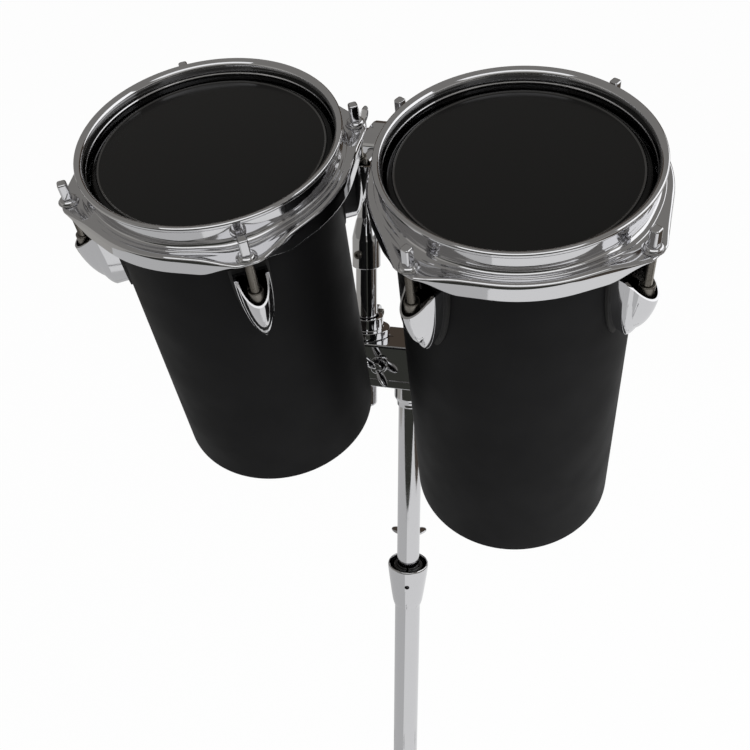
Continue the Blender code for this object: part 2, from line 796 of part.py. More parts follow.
def columns(x, y, z, origin):
    frame = Matrix((x, y, z)).transposed().to_4x4()
    frame.translation = origin
    return frame


def build_drum(side, lug, rod, bracket, carrier):
    values = SIDES[side]
    place = drum_frame(side)
    arm_place = arm_frame(side)
    slide = joint(f"{side}_drum_slide", arm_place @ shift(ARM_CIRCLE, 0, 0), carrier)
    part(f"{side}_shell", shell_mesh(values["shell_end"]), SHELL_BLACK, place, slide)
    part(f"{side}_head", head_mesh(), FILM_BLACK, place, slide)
    part(f"{side}_hoop", hoop_mesh(values["first_lug"]), CHROME, place, slide)
    for k in range(4):
        spot = place @ turn(values["first_lug"] + 90 * k, "Z")
        part(f"{side}_lug_{k + 1}", lug, CHROME, spot, slide)
        turning = joint(f"{side}_rod_axis_{k + 1}", spot @ shift(ROD_CIRCLE, 0, 0), slide)
        part(f"{side}_tension_rod_{k + 1}", rod, CHROME, spot, turning)
    part(f"{side}_bracket", bracket, CHROME, arm_place, slide)
    middle = (BRACKET_TOP + BRACKET_BOTTOM) / 2
    wing_place = arm_place @ shift(ARM_CIRCLE + 15, 0, middle) @ turn(90, "Y")
    part(f"{side}_bracket_wing_bolt", wing_mesh(8.5), CHROME, wing_place, slide)


def build_side(side, lug, rod, bracket, carrier):
    post_x = SIDES[side]["post_x"]
    radius, height, hinge, axis = hinge_layout(side)
    post_axis = STAND @ shift(post_x, 0, 0)
    lift = joint(f"{side}_post_slide", post_axis, carrier)
    part(f"{side}_post", post_mesh(), CHROME, post_axis, lift)
    part(f"{side}_memory_lock", memory_lock_mesh(), CHROME, post_axis @ turn(LOCK_TURN, "Z"), lift)
    back = Vector((-axis.y, axis.x, 0))
    yoke_place = columns(axis, back, Vector((0, 0, 1)), (STAND @ shift(post_x, 0, HINGE_HEIGHT)).translation)
    swivel = joint(f"{side}_swivel", yoke_place, lift)
    offset = (hinge - yoke_place.translation).dot(axis) / MM
    yoke = yoke_mesh(offset - BLOCK_HALF_WIDTH - 0.4)
    part(f"{side}_tilter_yoke", yoke, CHROME, yoke_place, swivel)
    wing_place = yoke_place @ shift(-13, 10.6, YOKE_TOP) @ turn(TILTER_WING_TURN, "Z")
    part(f"{side}_tilter_wing_bolt", wing_mesh(15, 2.5), CHROME, wing_place, swivel)
    outward = arm_frame(side).col[0].xyz
    block_place = columns(axis, outward, axis.cross(outward), hinge)
    tilt = joint(f"{side}_tilt_hinge", block_place, swivel)
    part(f"{side}_tilt_block", tilt_block_mesh(), CHROME, block_place, tilt)
    part(f"{side}_arm", arm_mesh(radius, height), CHROME, arm_frame(side), tilt)
    build_drum(side, lug, rod, bracket, tilt)
    pinch_place = STAND @ shift(math.copysign(PINCH_X, post_x), -29, 765) @ turn(90, "X")
    part(f"{side}_platform_wing_bolt", wing_mesh(76), CHROME, pinch_place @ turn(PLATFORM_WING_TURN, "Z"), carrier)


def build_tripod():
    slide = joint("hub_slide", STAND @ shift(0, 0, LEG_PIVOT_HEIGHT))
    pivots = STAND @ shift(0, 0, LEG_PIVOT_HEIGHT)
    part("leg_hub", hub_mesh(), CHROME, pivots, slide)
    part("spider", spider_mesh(), CHROME, STAND @ shift(0, 0, BRACE_PIVOT_HEIGHT))
    bolt_place = pivots @ turn(HUB_BOLT_AZIMUTH, "Z") @ shift(22, 0, 0) @ turn(90, "Y")
    part("hub_wing_bolt", wing_mesh(8.5), CHROME, bolt_place, slide)
    leg, foot, brace = leg_mesh(), foot_mesh(), brace_mesh()
    for number, azimuth in enumerate(LEG_AZIMUTHS, 1):
        place = STAND @ turn(azimuth, "Z")
        hinge = joint(f"leg_hinge_{number}", place @ shift(LEG_PIVOT_RADIUS, 0, LEG_PIVOT_HEIGHT), slide)
        part(f"leg_{number}", leg, CHROME, place, hinge)
        part(f"foot_{number}", foot, RUBBER, place, hinge)
        lower = joint(f"brace_hinge_{number}", place @ shift(LEG_PIVOT_RADIUS, 0, BRACE_PIVOT_HEIGHT))
        part(f"brace_{number}", brace, CHROME, place, lower)


def build():
    lift = joint("height_slide", STAND)
    part("lower_tube", lower_tube_mesh(), CHROME, STAND)
    part("height_clamp_cup", cup_mesh(), CHROME, STAND)
    part("clamp_bushing", bushing_mesh(), NYLON, STAND)
    bolt_place = STAND @ turn(math.degrees(CLAMP_AZIMUTH), "Z") @ shift(26, 0, CLAMP_HEIGHT) @ turn(90, "Y")
    part("height_wing_bolt", wing_mesh(8.5), CHROME, bolt_place @ turn(90, "Z"))
    part("upper_tube", upper_tube_mesh(), CHROME, STAND, lift)
    part("platform", platform_mesh(), CHROME, STAND, lift)
    build_tripod()
    lug, rod, bracket = lug_mesh(), rod_mesh(), bracket_mesh()
    for side in SIDES:
        build_side(side, lug, rod, bracket, lift)


build()
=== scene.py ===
"""The looks of a pair of octoban drums on their stand: chrome plate, matt wrap, black film and rubber.

Lengths are millimetres where a name or a comment doesn't say otherwise, and MM turns them into metres.
"""
import json
import math

import bpy
from mathutils import Matrix, Vector


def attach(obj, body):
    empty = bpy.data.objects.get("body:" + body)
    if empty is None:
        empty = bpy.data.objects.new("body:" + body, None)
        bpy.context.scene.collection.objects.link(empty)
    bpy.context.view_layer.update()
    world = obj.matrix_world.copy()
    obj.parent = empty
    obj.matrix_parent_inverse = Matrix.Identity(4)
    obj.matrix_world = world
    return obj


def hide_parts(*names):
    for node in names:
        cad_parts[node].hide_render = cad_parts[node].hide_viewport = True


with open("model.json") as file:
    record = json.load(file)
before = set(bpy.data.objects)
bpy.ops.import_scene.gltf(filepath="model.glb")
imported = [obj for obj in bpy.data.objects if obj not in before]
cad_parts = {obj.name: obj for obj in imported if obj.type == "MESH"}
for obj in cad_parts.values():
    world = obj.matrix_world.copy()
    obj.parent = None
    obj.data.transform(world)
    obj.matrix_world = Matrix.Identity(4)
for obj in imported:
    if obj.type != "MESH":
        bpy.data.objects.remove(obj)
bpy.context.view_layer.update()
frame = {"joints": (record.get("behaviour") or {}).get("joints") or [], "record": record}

MM = 0.001
JOINTS = {joint["name"]: joint for joint in frame["joints"]}
BODY_OF = {node: body for body, nodes in frame["record"]["behaviour"]["bodies"].items() for node in nodes}
SIDES = ("left", "right")

# Photograph
CAMERA_PLACE = (0.1997, -0.7389, 1.1012)
CAMERA_DOWN = 22.69
CAMERA_LEFT = 15.85
CAMERA_LENS = 47.72

# What the metal sees of the studio, away from the cards, and how white the camera sees the floor
FLOOR_IN_METAL = "#ABA9A5"
ROOM_IN_METAL = "#898784"
FLOOR_WHITE = 0.97

# Drum, in its own frame: heights run along its axis from the hoop's top
ROD_DROP = 20.0
ROD_CIRCLE = 94.1
SHELL_RADIUS = 76.2
SHELL_INNER = 72.2
SHELL_ENDS = {"left": -272.5, "right": -326.5}
SKIRT_RADIUS = 90.0
EAR_RADIUS = 99.2
LUG_RIM = -44.0
LUG_RIM_FRONT = -56.0
LUG_TIP = -96.5
LUG_HALF_WIDTH = 10.4
LUG_SEAT = 77.4
LUG_BASE_OUT = 86.0
LUG_REACH = 102.5
LUG_WALL = 1.1
NUT_TOP = -47.0
NUT_BOTTOM = -67.0
NUT_RADIUS = 4.8
SCREW_BORE = 3.3
ARM_ROD_RADIUS = 5.25
ARM_CIRCLE = 104.0
BRACKET_TOP = -88.0
BRACKET_BOTTOM = -136.0

# Stand, in heights above the floor
UPPER_TUBE_RADIUS = 11.1
LOWER_TUBE_RADIUS = 12.7
LOWER_TUBE_BORE = 11.6
POST_X = 42.5
POST_RADIUS = 9.55
POST_BORE = 9.9
POST_TOP = 873.5
POST_BOTTOM = 710.0
BLOCK_HALF_WIDTH = 10.5
BLOCK_HALF_LENGTH = 17.0
TILTER_HALF_HEIGHT = 13.5
TILTER_CORNER = 10.0
YOKE_TOP = 8.0
TRUNNION_RADIUS = 5.0
PLATFORM_TOP = 783.0
PLATFORM_BOTTOM = 743.0
PLATFORM_HALF_DEPTH = 26.5
PINCH_X = 23.0
PINCH_HEIGHT = 765.0
CUP_RIM = 543.0
CLAMP_AZIMUTH = 103.0
CLAMP_HEIGHT = 556.0
LEG_PIVOT_RADIUS = 26.0
LEG_RADIUS = 6.0
LEG_AZIMUTHS = (-90.0, 30.0, 150.0)
FOOT_CIRCLE = 345.0
FOOT_BALL = 13.0
FOOT_CENTRE_HEIGHT = 9.0
BRACE_ALONG_LEG = 200.0
HUB_BOLT_AZIMUTH = 90.0
TILTER_WING_TURN = -35.0
PLATFORM_WING_TURN = -48.0
LOCK_TURN = 85.0
ARM_TURN = -90.0
CUTTER_TURN = 1.3

# Ways to stand a slab up: its (x, y) outline read as (y, z) along X, and as (x, z) across Y
ALONG_X = Matrix(((0, 0, 1, 0), (1, 0, 0, 0), (0, 1, 0, 0), (0, 0, 0, 1)))
ACROSS_Y = Matrix(((1, 0, 0, 0), (0, 0, -1, 0), (0, 1, 0, 0), (0, 0, 0, 1)))


# Colours and node helpers
def linear(hex_code):
    """An sRGB hex colour as the linear values that shaders take."""
    values = [int(hex_code[i:i + 2], 16) / 255 for i in (1, 3, 5)]
    return [v / 12.92 if v <= 0.04045 else ((v + 0.055) / 1.055) ** 2.4 for v in values] + [1.0]


def add_node(tree, kind, settings=None, links=None):
    """A shader node with its settings and input values, linked to other nodes' outputs."""
    node = tree.nodes.new(kind)
    for name, value in (settings or {}).items():
        if name in node.inputs:
            node.inputs[name].default_value = value
        else:
            setattr(node, name, value)
    for name, source in (links or {}).items():
        tree.links.new(source, node.inputs[name])
    return node


def new_material(name, colour, metallic, roughness):
    """A material with a Principled shader, its node tree and its object coordinates."""
    material = bpy.data.materials.new(name)
    material.use_nodes = True
    tree = material.node_tree
    shader = tree.nodes["Principled BSDF"]
    shader.inputs["Base Color"].default_value = linear(colour)
    shader.inputs["Metallic"].default_value = metallic
    shader.inputs["Roughness"].default_value = roughness
    place = tree.nodes.new("ShaderNodeTexCoord").outputs["Object"]
    return material, tree, shader, place


def grain(tree, place, period, detail=2.0):
    """A noise whose bumps are about one period apart, in millimetres."""
    scale = 1 / (period * MM)
    noise = add_node(tree, "ShaderNodeTexNoise", {"Scale": scale, "Detail": detail}, {"Vector": place})
    return noise.outputs["Fac"]


def spread(tree, value, low, high):
    """A 0 to 1 value spread over a range."""
    settings = {"From Min": 0.3, "From Max": 0.7, "To Min": low, "To Max": high}
    return add_node(tree, "ShaderNodeMapRange", settings, {"Value": value}).outputs["Result"]


def two_tone(tree, shader, share, low, high):
    """A base colour between two colours, by a share of the second."""
    mix = add_node(tree, "ShaderNodeMix", {"data_type": "RGBA"}, {"Factor": share})
    mix.inputs["A"].default_value = linear(low)
    mix.inputs["B"].default_value = linear(high)
    tree.links.new(mix.outputs["Result"], shader.inputs["Base Color"])


def relief(tree, shader, height, depth):
    """A bump on the shader, its depth in millimetres."""
    bump = add_node(tree, "ShaderNodeBump", {"Strength": 1.0, "Distance": depth * MM}, {"Height": height})
    tree.links.new(bump.outputs["Normal"], shader.inputs["Normal"])


# Finishes
def chrome_plate():
    """Decorative chromium on polished steel and zinc castings: a dark mirror with a very faint haze."""
    material, tree, shader, place = new_material("chrome_plate", "#CFCFD1", 1.0, 0.05)
    haze = spread(tree, grain(tree, place, 14.0), 0.035, 0.085)
    tree.links.new(haze, shader.inputs["Roughness"])
    return material


def zinc_steel():
    """Zinc-plated steel, as on threads and set screws: greyer than chrome, with a dull sheen."""
    material, tree, shader, place = new_material("zinc_plated_steel", "#7C7872", 1.0, 0.3)
    tree.links.new(spread(tree, grain(tree, place, 2.0), 0.24, 0.38), shader.inputs["Roughness"])
    return material


def shell_wrap():
    """Matt black PVC wrap: an even, very fine leathery grain that spreads the light and hides most gloss."""
    material, tree, shader, place = new_material("matt_black_wrap", "#171718", 0.0, 0.55)
    shader.inputs["Specular IOR Level"].default_value = 0.06
    relief(tree, shader, grain(tree, place, 0.7), 0.015)
    tree.links.new(spread(tree, grain(tree, place, 35.0), 0.5, 0.6), shader.inputs["Roughness"])
    return material


def stained_ply():
    """The bare inside of a ply shell under a black stain: fine grain along the shell."""
    material, tree, shader, place = new_material("stained_birch_ply", "#2A2320", 0.0, 0.6)
    stretched = add_node(tree, "ShaderNodeMapping", {"Scale": (1.0, 1.0, 0.08)}, {"Vector": place})
    fibres = grain(tree, stretched.outputs["Vector"], 1.2, 4.0)
    two_tone(tree, shader, fibres, "#1E1917", "#352C27")
    relief(tree, shader, fibres, 0.03)
    return material


def head_film():
    """Black polyester film, 0.25 mm thick: smooth, with a soft satin reflection."""
    material, tree, shader, place = new_material("black_polyester_film", "#070707", 0.0, 0.15)
    shader.inputs["Specular IOR Level"].default_value = 0.35
    tree.links.new(spread(tree, grain(tree, place, 25.0), 0.12, 0.18), shader.inputs["Roughness"])
    relief(tree, shader, grain(tree, place, 1.5), 0.002)
    return material


def film_bead():
    """The formed bead round the film's flat middle: glossier, so that it shows as a thin line."""
    material, tree, shader, place = new_material("glossy_film_bead", "#0A0A0A", 0.0, 0.1)
    shader.inputs["Specular IOR Level"].default_value = 1.0
    shader.inputs["Coat Weight"].default_value = 1.0
    tree.links.new(spread(tree, grain(tree, place, 25.0), 0.08, 0.12), shader.inputs["Roughness"])
    return material


def nylon():
    """Dark moulded nylon: slightly waxy, with a fine mould texture."""
    material, tree, shader, place = new_material("dark_nylon", "#232323", 0.0, 0.42)
    relief(tree, shader, grain(tree, place, 0.6), 0.02)
    return material


def rubber():
    """Moulded black rubber: matt, dusty in the hollows of its texture."""
    material, tree, shader, place = new_material("moulded_rubber", "#161616", 0.0, 0.75)
    two_tone(tree, shader, grain(tree, place, 3.0, 4.0), "#121212", "#232221")
    relief(tree, shader, grain(tree, place, 0.9), 0.04)
    return material


CHROME = chrome_plate()
ZINC = zinc_steel()
WRAP = shell_wrap()
PLY = stained_ply()
FILM = head_film()
BEAD = film_bead()
NYLON = nylon()
RUBBER = rubber()


# Frames that the joints give
def joint_point(name):
    return Vector(JOINTS[name]["pos_m"])


def joint_axis(name):
    return Vector(JOINTS[name]["axis"]).normalized()


def columns(x, z, origin):
    """A frame with its Z along z and its X as near to x as it can be."""
    z = z.normalized()
    x = (x - z * x.dot(z)).normalized()
    place = Matrix((x, z.cross(x), z)).transposed().to_4x4()
    place.translation = origin
    return place


def drum_frame(side):
    """The drum's frame: origin at the middle of the hoop's top, X towards its first rod."""
    rods = [joint_point(f"{side}_rod_turn_{k}") for k in (1, 2, 3, 4)]
    axis = joint_axis(f"{side}_drum_slide")
    centre = sum(rods, Vector()) / 4
    return columns(rods[0] - centre, axis, centre + axis * ROD_DROP * MM)


STAND_Y = joint_point("left_swivel").y
HINGE_HEIGHT = joint_point("left_tilt").z / MM


def turn(degrees, axis):
    return Matrix.Rotation(math.radians(degrees), 4, axis)


def shift(x, y, z):
    return Matrix.Translation((x * MM, y * MM, z * MM))


# Stage
def mixed(tree, share, first, second):
    """A mix of two shaders, by a share of the second."""
    return add_node(tree, "ShaderNodeMixShader", {}, {0: share, 1: first, 2: second}).outputs[0]


def stage_floor():
    """A plain pale floor that takes the stand's shadow; the metal sees it as a dim studio floor."""
    bpy.ops.mesh.primitive_plane_add(size=400.0)
    floor = bpy.context.object
    floor.name = "floor"
    material = bpy.data.materials.new("pale_floor")
    material.use_nodes = True
    tree = material.node_tree
    shader = tree.nodes["Principled BSDF"]
    shader.inputs["Base Color"].default_value = linear("#EDEDED")
    shader.inputs["Roughness"].default_value = 0.9
    white = add_node(tree, "ShaderNodeEmission", {"Color": linear("#FFFFFF"), "Strength": 1.0})
    dim = add_node(tree, "ShaderNodeEmission", {"Color": linear(FLOOR_IN_METAL), "Strength": 1.0})
    path = tree.nodes.new("ShaderNodeLightPath")
    seen = add_node(tree, "ShaderNodeMath", {"operation": "MULTIPLY"}, {0: path.outputs["Is Camera Ray"]})
    seen.inputs[1].default_value = FLOOR_WHITE
    lit = mixed(tree, seen.outputs[0], shader.outputs[0], white.outputs[0])
    surface = mixed(tree, path.outputs["Is Glossy Ray"], lit, dim.outputs[0])
    tree.links.new(surface, tree.nodes["Material Output"].inputs["Surface"])
    floor.data.materials.append(material)


def stage_world():
    """A white backdrop for the camera, and a dim grey room over the floor for what the metal reflects."""
    world = bpy.data.worlds.new("studio")
    bpy.context.scene.world = world
    world.use_nodes = True
    tree = world.node_tree
    tree.nodes.clear()
    path = tree.nodes.new("ShaderNodeLightPath")
    room = add_node(tree, "ShaderNodeBackground", {"Color": linear(ROOM_IN_METAL), "Strength": 1.0})
    soft = add_node(tree, "ShaderNodeBackground", {"Color": linear("#FFFFFF"), "Strength": 0.5})
    white = add_node(tree, "ShaderNodeBackground", {"Color": linear("#FFFFFF"), "Strength": 1.0})
    glossy = mixed(tree, path.outputs["Is Glossy Ray"], soft.outputs[0], room.outputs[0])
    camera = mixed(tree, path.outputs["Is Camera Ray"], glossy, white.outputs[0])
    output = tree.nodes.new("ShaderNodeOutputWorld")
    tree.links.new(camera, output.inputs["Surface"])


def aimed(place, target):
    """A frame at a place whose -Z looks at the target."""
    back = (Vector(place) - Vector(target)).normalized()
    return Matrix.Translation(place) @ back.to_track_quat("Z", "Y").to_matrix().to_4x4()


def softbox(name, place, target, width, height, power):
    """A soft lamp that the metal doesn't see."""
    bpy.ops.object.light_add(type="AREA")
    lamp = bpy.context.object
    lamp.name = name
    lamp.data.shape = "RECTANGLE"
    lamp.data.size = width
    lamp.data.size_y = height
    lamp.data.energy = power
    lamp.matrix_world = aimed(place, target)
    lamp.visible_glossy = False


def card(name, place, target, width, height, colour, strength):
    """A reflector or a black flag of a product studio, seen only in the metal."""
    bpy.ops.mesh.primitive_plane_add(size=1.0)
    panel = bpy.context.object
    panel.name = name
    panel.matrix_world = aimed(place, target) @ Matrix.Diagonal((width, height, 1.0, 1.0))
    material = bpy.data.materials.new(name)
    material.use_nodes = True
    tree = material.node_tree
    tree.nodes.remove(tree.nodes["Principled BSDF"])
    glow = add_node(tree, "ShaderNodeEmission", {"Color": linear(colour), "Strength": strength})
    tree.links.new(glow.outputs[0], tree.nodes["Material Output"].inputs["Surface"])
    panel.data.materials.append(material)
    panel.visible_camera = False
    panel.visible_diffuse = False
    panel.visible_shadow = False
    panel.visible_transmission = False


def stage_camera():
    """The photograph's view, from above and a little to the right."""
    bpy.ops.object.camera_add(location=CAMERA_PLACE)
    camera = bpy.context.object
    camera.rotation_euler = (math.radians(90 - CAMERA_DOWN), 0.0, math.radians(CAMERA_LEFT))
    camera.data.lens = CAMERA_LENS
    camera.data.sensor_width = 36.0
    bpy.context.scene.camera = camera


def stage_cards():
    """What the chrome mirrors: white paper below, behind and in front, dimmer on the left as a painted shadow
    of the drums on the paper, and the dark room past its edges.
    """
    card("paper_right", (0.55, 0.52, 0.001), (0.55, 0.52, 1.0), 1.2, 2.96, "#FFFFFF", 0.9)
    # The paper left of the stand glows at 0.6 where the right part glows at 0.9: a painted shadow of the
    # drums on the paper, as the metal sees it
    card("paper_left_painted_shadow", (-0.75, 0.52, 0.001), (-0.75, 0.52, 1.0), 1.4, 2.96, "#FFFFFF", 0.6)
    card("paper_backdrop", (-0.6, 2.0, 0.475), (-0.6, 0.0, 0.475), 3.5, 0.95, "#FFFFFF", 0.9)
    card("wall_behind", (-0.3, 2.05, 2.13), (-0.3, 0.0, 2.13), 5.0, 2.36, "#4C433B", 1.0)
    card("side_paper", (2.0, 0.6, 1.8), (0.0, 0.0, 1.0), 3.2, 1.5, "#FFFFFF", 1.5)
    card("front_paper", (0.5, -2.45, 1.9), (0.0, 0.0, 1.0), 3.6, 1.3, "#FFFFFF", 1.3)
    card("floor_in_front", (0.2, -2.46, 0.001), (0.2, -2.46, 1.0), 4.2, 3.0, "#3A3B37", 1.0)
    card("floor_at_right", (2.15, 0.54, 0.001), (2.15, 0.54, 1.0), 2.0, 3.0, "#514942", 1.0)


def stage_lights():
    """Two soft lamps from the right, one in front and one behind."""
    middle = (0.0, -0.1, 0.85)
    softbox("key_softbox", (1.5, -1.1, 1.9), middle, 1.2, 1.2, 20.0)
    softbox("side_softbox", (1.7, 0.5, 1.8), middle, 1.6, 1.5, 14.0)


# Modelling helpers
def deleted(*models):
    """Takes away models whose copies are in place, or cutters that are used."""
    for model in models:
        bpy.data.objects.remove(model, do_unlink=True)


def only(thing):
    """Selects one object and nothing else."""
    bpy.ops.object.select_all(action="DESELECT")
    thing.select_set(True)
    bpy.context.view_layer.objects.active = thing


def edit_all():
    """Opens the active mesh for editing with everything selected."""
    bpy.ops.object.mode_set(mode="EDIT")
    bpy.ops.mesh.select_all(action="SELECT")


def sealed():
    """Merges what meets in the edited mesh, points its faces outwards and leaves edit mode."""
    bpy.ops.mesh.select_all(action="SELECT")
    bpy.ops.mesh.remove_doubles(threshold=0.002 * MM)
    bpy.ops.mesh.normals_make_consistent(inside=False)
    bpy.ops.object.mode_set(mode="OBJECT")


def traced(points):
    """A wire through (x, y, z) points, drawn by extruding one vertex; it stays in edit mode, all selected."""
    bpy.ops.object.select_all(action="DESELECT")
    bpy.ops.mesh.primitive_plane_add(size=MM)
    piece = bpy.context.object
    edit_all()
    bpy.ops.mesh.merge(type="CENTER")
    steps = [Vector(point) * MM for point in points]
    bpy.ops.transform.translate(value=steps[0])
    for start, end in zip(steps, steps[1:]):
        bpy.ops.mesh.extrude_region_move(TRANSFORM_OT_translate={"value": end - start})
    bpy.ops.mesh.select_all(action="SELECT")
    return piece


def lathed(profile, steps=96):
    """A (radius, height) profile spun about Z. One that doesn't start on the axis is closed first."""
    if profile[0][0] > 0:
        profile = profile + [profile[0]]
    piece = traced([(radius, 0, height) for radius, height in profile])
    bpy.ops.mesh.spin(steps=steps, angle=2 * math.pi, center=(0, 0, 0), axis=(0, 0, 1))
    sealed()
    return piece


def slab(outline, bottom, top):
    """A flat (x, y) outline, filled and extruded upwards."""
    piece = traced([(x, y, bottom) for x, y in outline + [outline[0]]])
    bpy.ops.mesh.remove_doubles(threshold=0.002 * MM)
    bpy.ops.mesh.edge_face_add()
    bpy.ops.mesh.extrude_region_move(TRANSFORM_OT_translate={"value": (0, 0, (top - bottom) * MM)})
    sealed()
    return piece


def rounded(points, radius, cuts=4):
    """A line of points whose inner corners are rounded, each to a curve of a few cuts."""
    points = [Vector((*point, 0.0)) for point in points]
    line = [points[0]]
    for before, corner, after in zip(points, points[1:], points[2:]):
        reach_in = min(radius, (before - corner).length * 0.45)
        reach_out = min(radius, (after - corner).length * 0.45)
        start = corner + (before - corner).normalized() * reach_in
        end = corner + (after - corner).normalized() * reach_out
        for cut in range(cuts + 1):
            t = cut / cuts
            line.append(start * (1 - t) ** 2 + corner * 2 * t * (1 - t) + end * t**2)
    line.append(points[-1])
    return [(point.x, point.y) for point in line]


def round_bar(radius, top, bottom, ease, cuts=3, steps=40):
    """A turned bar along Z with rounded end edges."""
    return lathed(rounded([(0, top), (radius, top), (radius, bottom), (0, bottom)], ease, cuts), steps)


def rod_of(radius, bottom, top, steps=48):
    """A plain cylinder along Z, used whole or as a cutter, turned a little so that no corners coincide."""
    bpy.ops.object.select_all(action="DESELECT")
    height = (top - bottom) * MM
    centre = (0, 0, (top + bottom) / 2 * MM)
    bpy.ops.mesh.primitive_cylinder_add(vertices=steps, radius=radius * MM, depth=height, location=centre)
    return moved(bpy.context.object, turn(CUTTER_TURN, "Z"))


def block(low, high, bevel=0.0, segments=3):
    """A box between two corners with rounded edges."""
    bpy.ops.object.select_all(action="DESELECT")
    centre = [(a + b) / 2 * MM for a, b in zip(low, high)]
    size = [(b - a) * MM for a, b in zip(low, high)]
    bpy.ops.mesh.primitive_cube_add(size=1.0, location=centre, scale=size)
    piece = bpy.context.object
    moved(piece, Matrix.Identity(4))
    if bevel:
        edit_all()
        bpy.ops.mesh.bevel(offset=bevel * MM, segments=segments, affect="EDGES")
        bpy.ops.object.mode_set(mode="OBJECT")
    return piece


def moved(piece, place):
    """Puts the piece at a place and applies it, so that the object is back at the origin."""
    only(piece)
    piece.matrix_world = place @ piece.matrix_world
    bpy.ops.object.transform_apply(location=True, rotation=True, scale=True)
    return piece


def applied(piece, kind, settings):
    """Adds a modifier with its settings and applies it."""
    only(piece)
    change = piece.modifiers.new(kind.title(), kind)
    for name, value in settings.items():
        setattr(change, name, value)
    bpy.ops.object.modifier_apply(modifier=change.name)
    return piece


def joined(piece, *others):
    """The piece with others united to it, one at a time."""
    for other in others:
        applied(piece, "BOOLEAN", {"operation": "UNION", "solver": "EXACT", "object": other})
        deleted(other)
    return piece


def cut(piece, *cutters):
    """The piece with the cutters taken away."""
    for cutter in cutters:
        applied(piece, "BOOLEAN", {"operation": "DIFFERENCE", "solver": "EXACT", "object": cutter})
        deleted(cutter)
    return piece


def shaded(piece, finish, angle=32.0):
    """Smooth shading up to an angle, flat faces kept flat, and the piece's finish."""
    only(piece)
    bpy.ops.object.shade_smooth_by_angle(angle=math.radians(angle))
    applied(piece, "WEIGHTED_NORMAL", {"keep_sharp": True})
    piece.data.materials.clear()
    piece.data.materials.append(finish)
    return piece


def second_finish(piece, finish, chosen, axis=0.0):
    """Another finish on the faces whose radius about an upright axis and height are chosen."""
    piece.data.materials.append(finish)
    for face in piece.data.polygons:
        radius = math.hypot(face.center.x / MM - axis, face.center.y / MM)
        if chosen(radius, face.center.z / MM):
            face.material_index = 1
    return piece


def copied(piece, name, place):
    """A copy of a finished piece with its own mesh, at a place."""
    twin = piece.copy()
    twin.data = piece.data.copy()
    twin.name = name
    bpy.context.scene.collection.objects.link(twin)
    moved(twin, place)
    return twin


def fitted(piece, name, place, node):
    """A copy of a piece at its place, riding with the node that it stands for."""
    twin = copied(piece, name, place)
    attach(twin, BODY_OF[node])
    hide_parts(node)
    return twin


def trim(piece, name, place, node):
    """A copy of a small piece that isn't in the frame, riding with the node that carries it."""
    twin = copied(piece, name, place)
    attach(twin, BODY_OF[node])
    return twin


def arc(centre_x, centre_y, radius, start, end, count):
    """Points on an arc, angles in degrees."""
    points = []
    for i in range(count + 1):
        angle = math.radians(start + (end - start) * i / count)
        points.append((centre_x + radius * math.cos(angle), centre_y + radius * math.sin(angle)))
    return points


# Drum pieces, in the drum's frame
def shell_piece(end):
    """The ply tube with its wrap outside, its bearing edge on top and its bare inside."""
    profile = [
        (SHELL_INNER, -15.4),
        (73.6, -13.4),
        (SHELL_RADIUS, -15.6),
        (SHELL_RADIUS, end),
        (SHELL_INNER, end),
        (SHELL_INNER, -15.4),
    ]
    outline = rounded(profile, 0.9, 3)
    piece = lathed(outline, 144)
    shaded(piece, WRAP, 40.0)
    return second_finish(piece, PLY, lambda radius, height: radius < SHELL_RADIUS - 0.35)


def head_piece():
    """Film with its step, its rounded collar and the flesh hoop under the hoop's ledge."""
    profile = [
        (0, -11.2),
        (71.9, -11.2),
        (72.4, -10.7),
        (73.1, -10.7),
        (73.6, -11.6),
        (76.4, -12.5),
        (78.2, -15.2),
        (78.4, -21.4),
        (83.2, -21.6),
        (83.2, -26.8),
        (76.9, -26.8),
        (76.8, -15.5),
        (72.8, -12.3),
        (0, -12.3),
    ]
    piece = shaded(lathed(rounded(profile, 0.8, 3), 144), FILM, 40.0)
    return second_finish(piece, BEAD, lambda radius, height: 71.9 < radius < 73.4 and height > -11.3)


def hoop_profiles():
    """The triple flange down its outside and up its inside: between the ears, and in the middle of one.

    A point is radius, height, then the radius and height that it has in the middle of an ear, if it moves.
    """
    points = [
        (79.3, -8.4),
        (79.3, -7.8),
        (79.3, -4.6),
        (79.35, -3.8),
        (79.9, -1.9),
        (81.3, -0.5),
        (83.1, 0.0),
        (83.8, -0.1),
        (84.7, -1.2),
        (84.3, -3.6),
        (81.5, -4.6),
        (81.5, -15.9, 81.5, -16.2),
        (82.6, -17.3, 83.0, -18.4),
        (84.6, -17.4, 85.4, -19.2),
        (85.0, -18.0, 85.9, -19.8),
        (87.2, -18.1, 88.6, -20.3),
        (89.3, -19.0, 97.6, -20.5),
        (90.0, -21.6, 99.2, -21.3),
        (90.0, -30.6, 99.2, -22.6),
        (87.9, -30.9, 97.4, -22.9),
        (87.6, -21.9, 92.0, -22.8),
        (86.6, -20.2, 87.4, -22.4),
        (79.3, -19.0, 79.3, -20.0),
        (79.3, -10.4),
        (78.9, -9.8),
        (78.9, -9.0),
        (79.3, -8.4),
    ]
    plain = rounded([point[:2] for point in points], 1.1, 3)
    eared = rounded([point[-2:] for point in points], 1.1, 3)
    return plain, eared


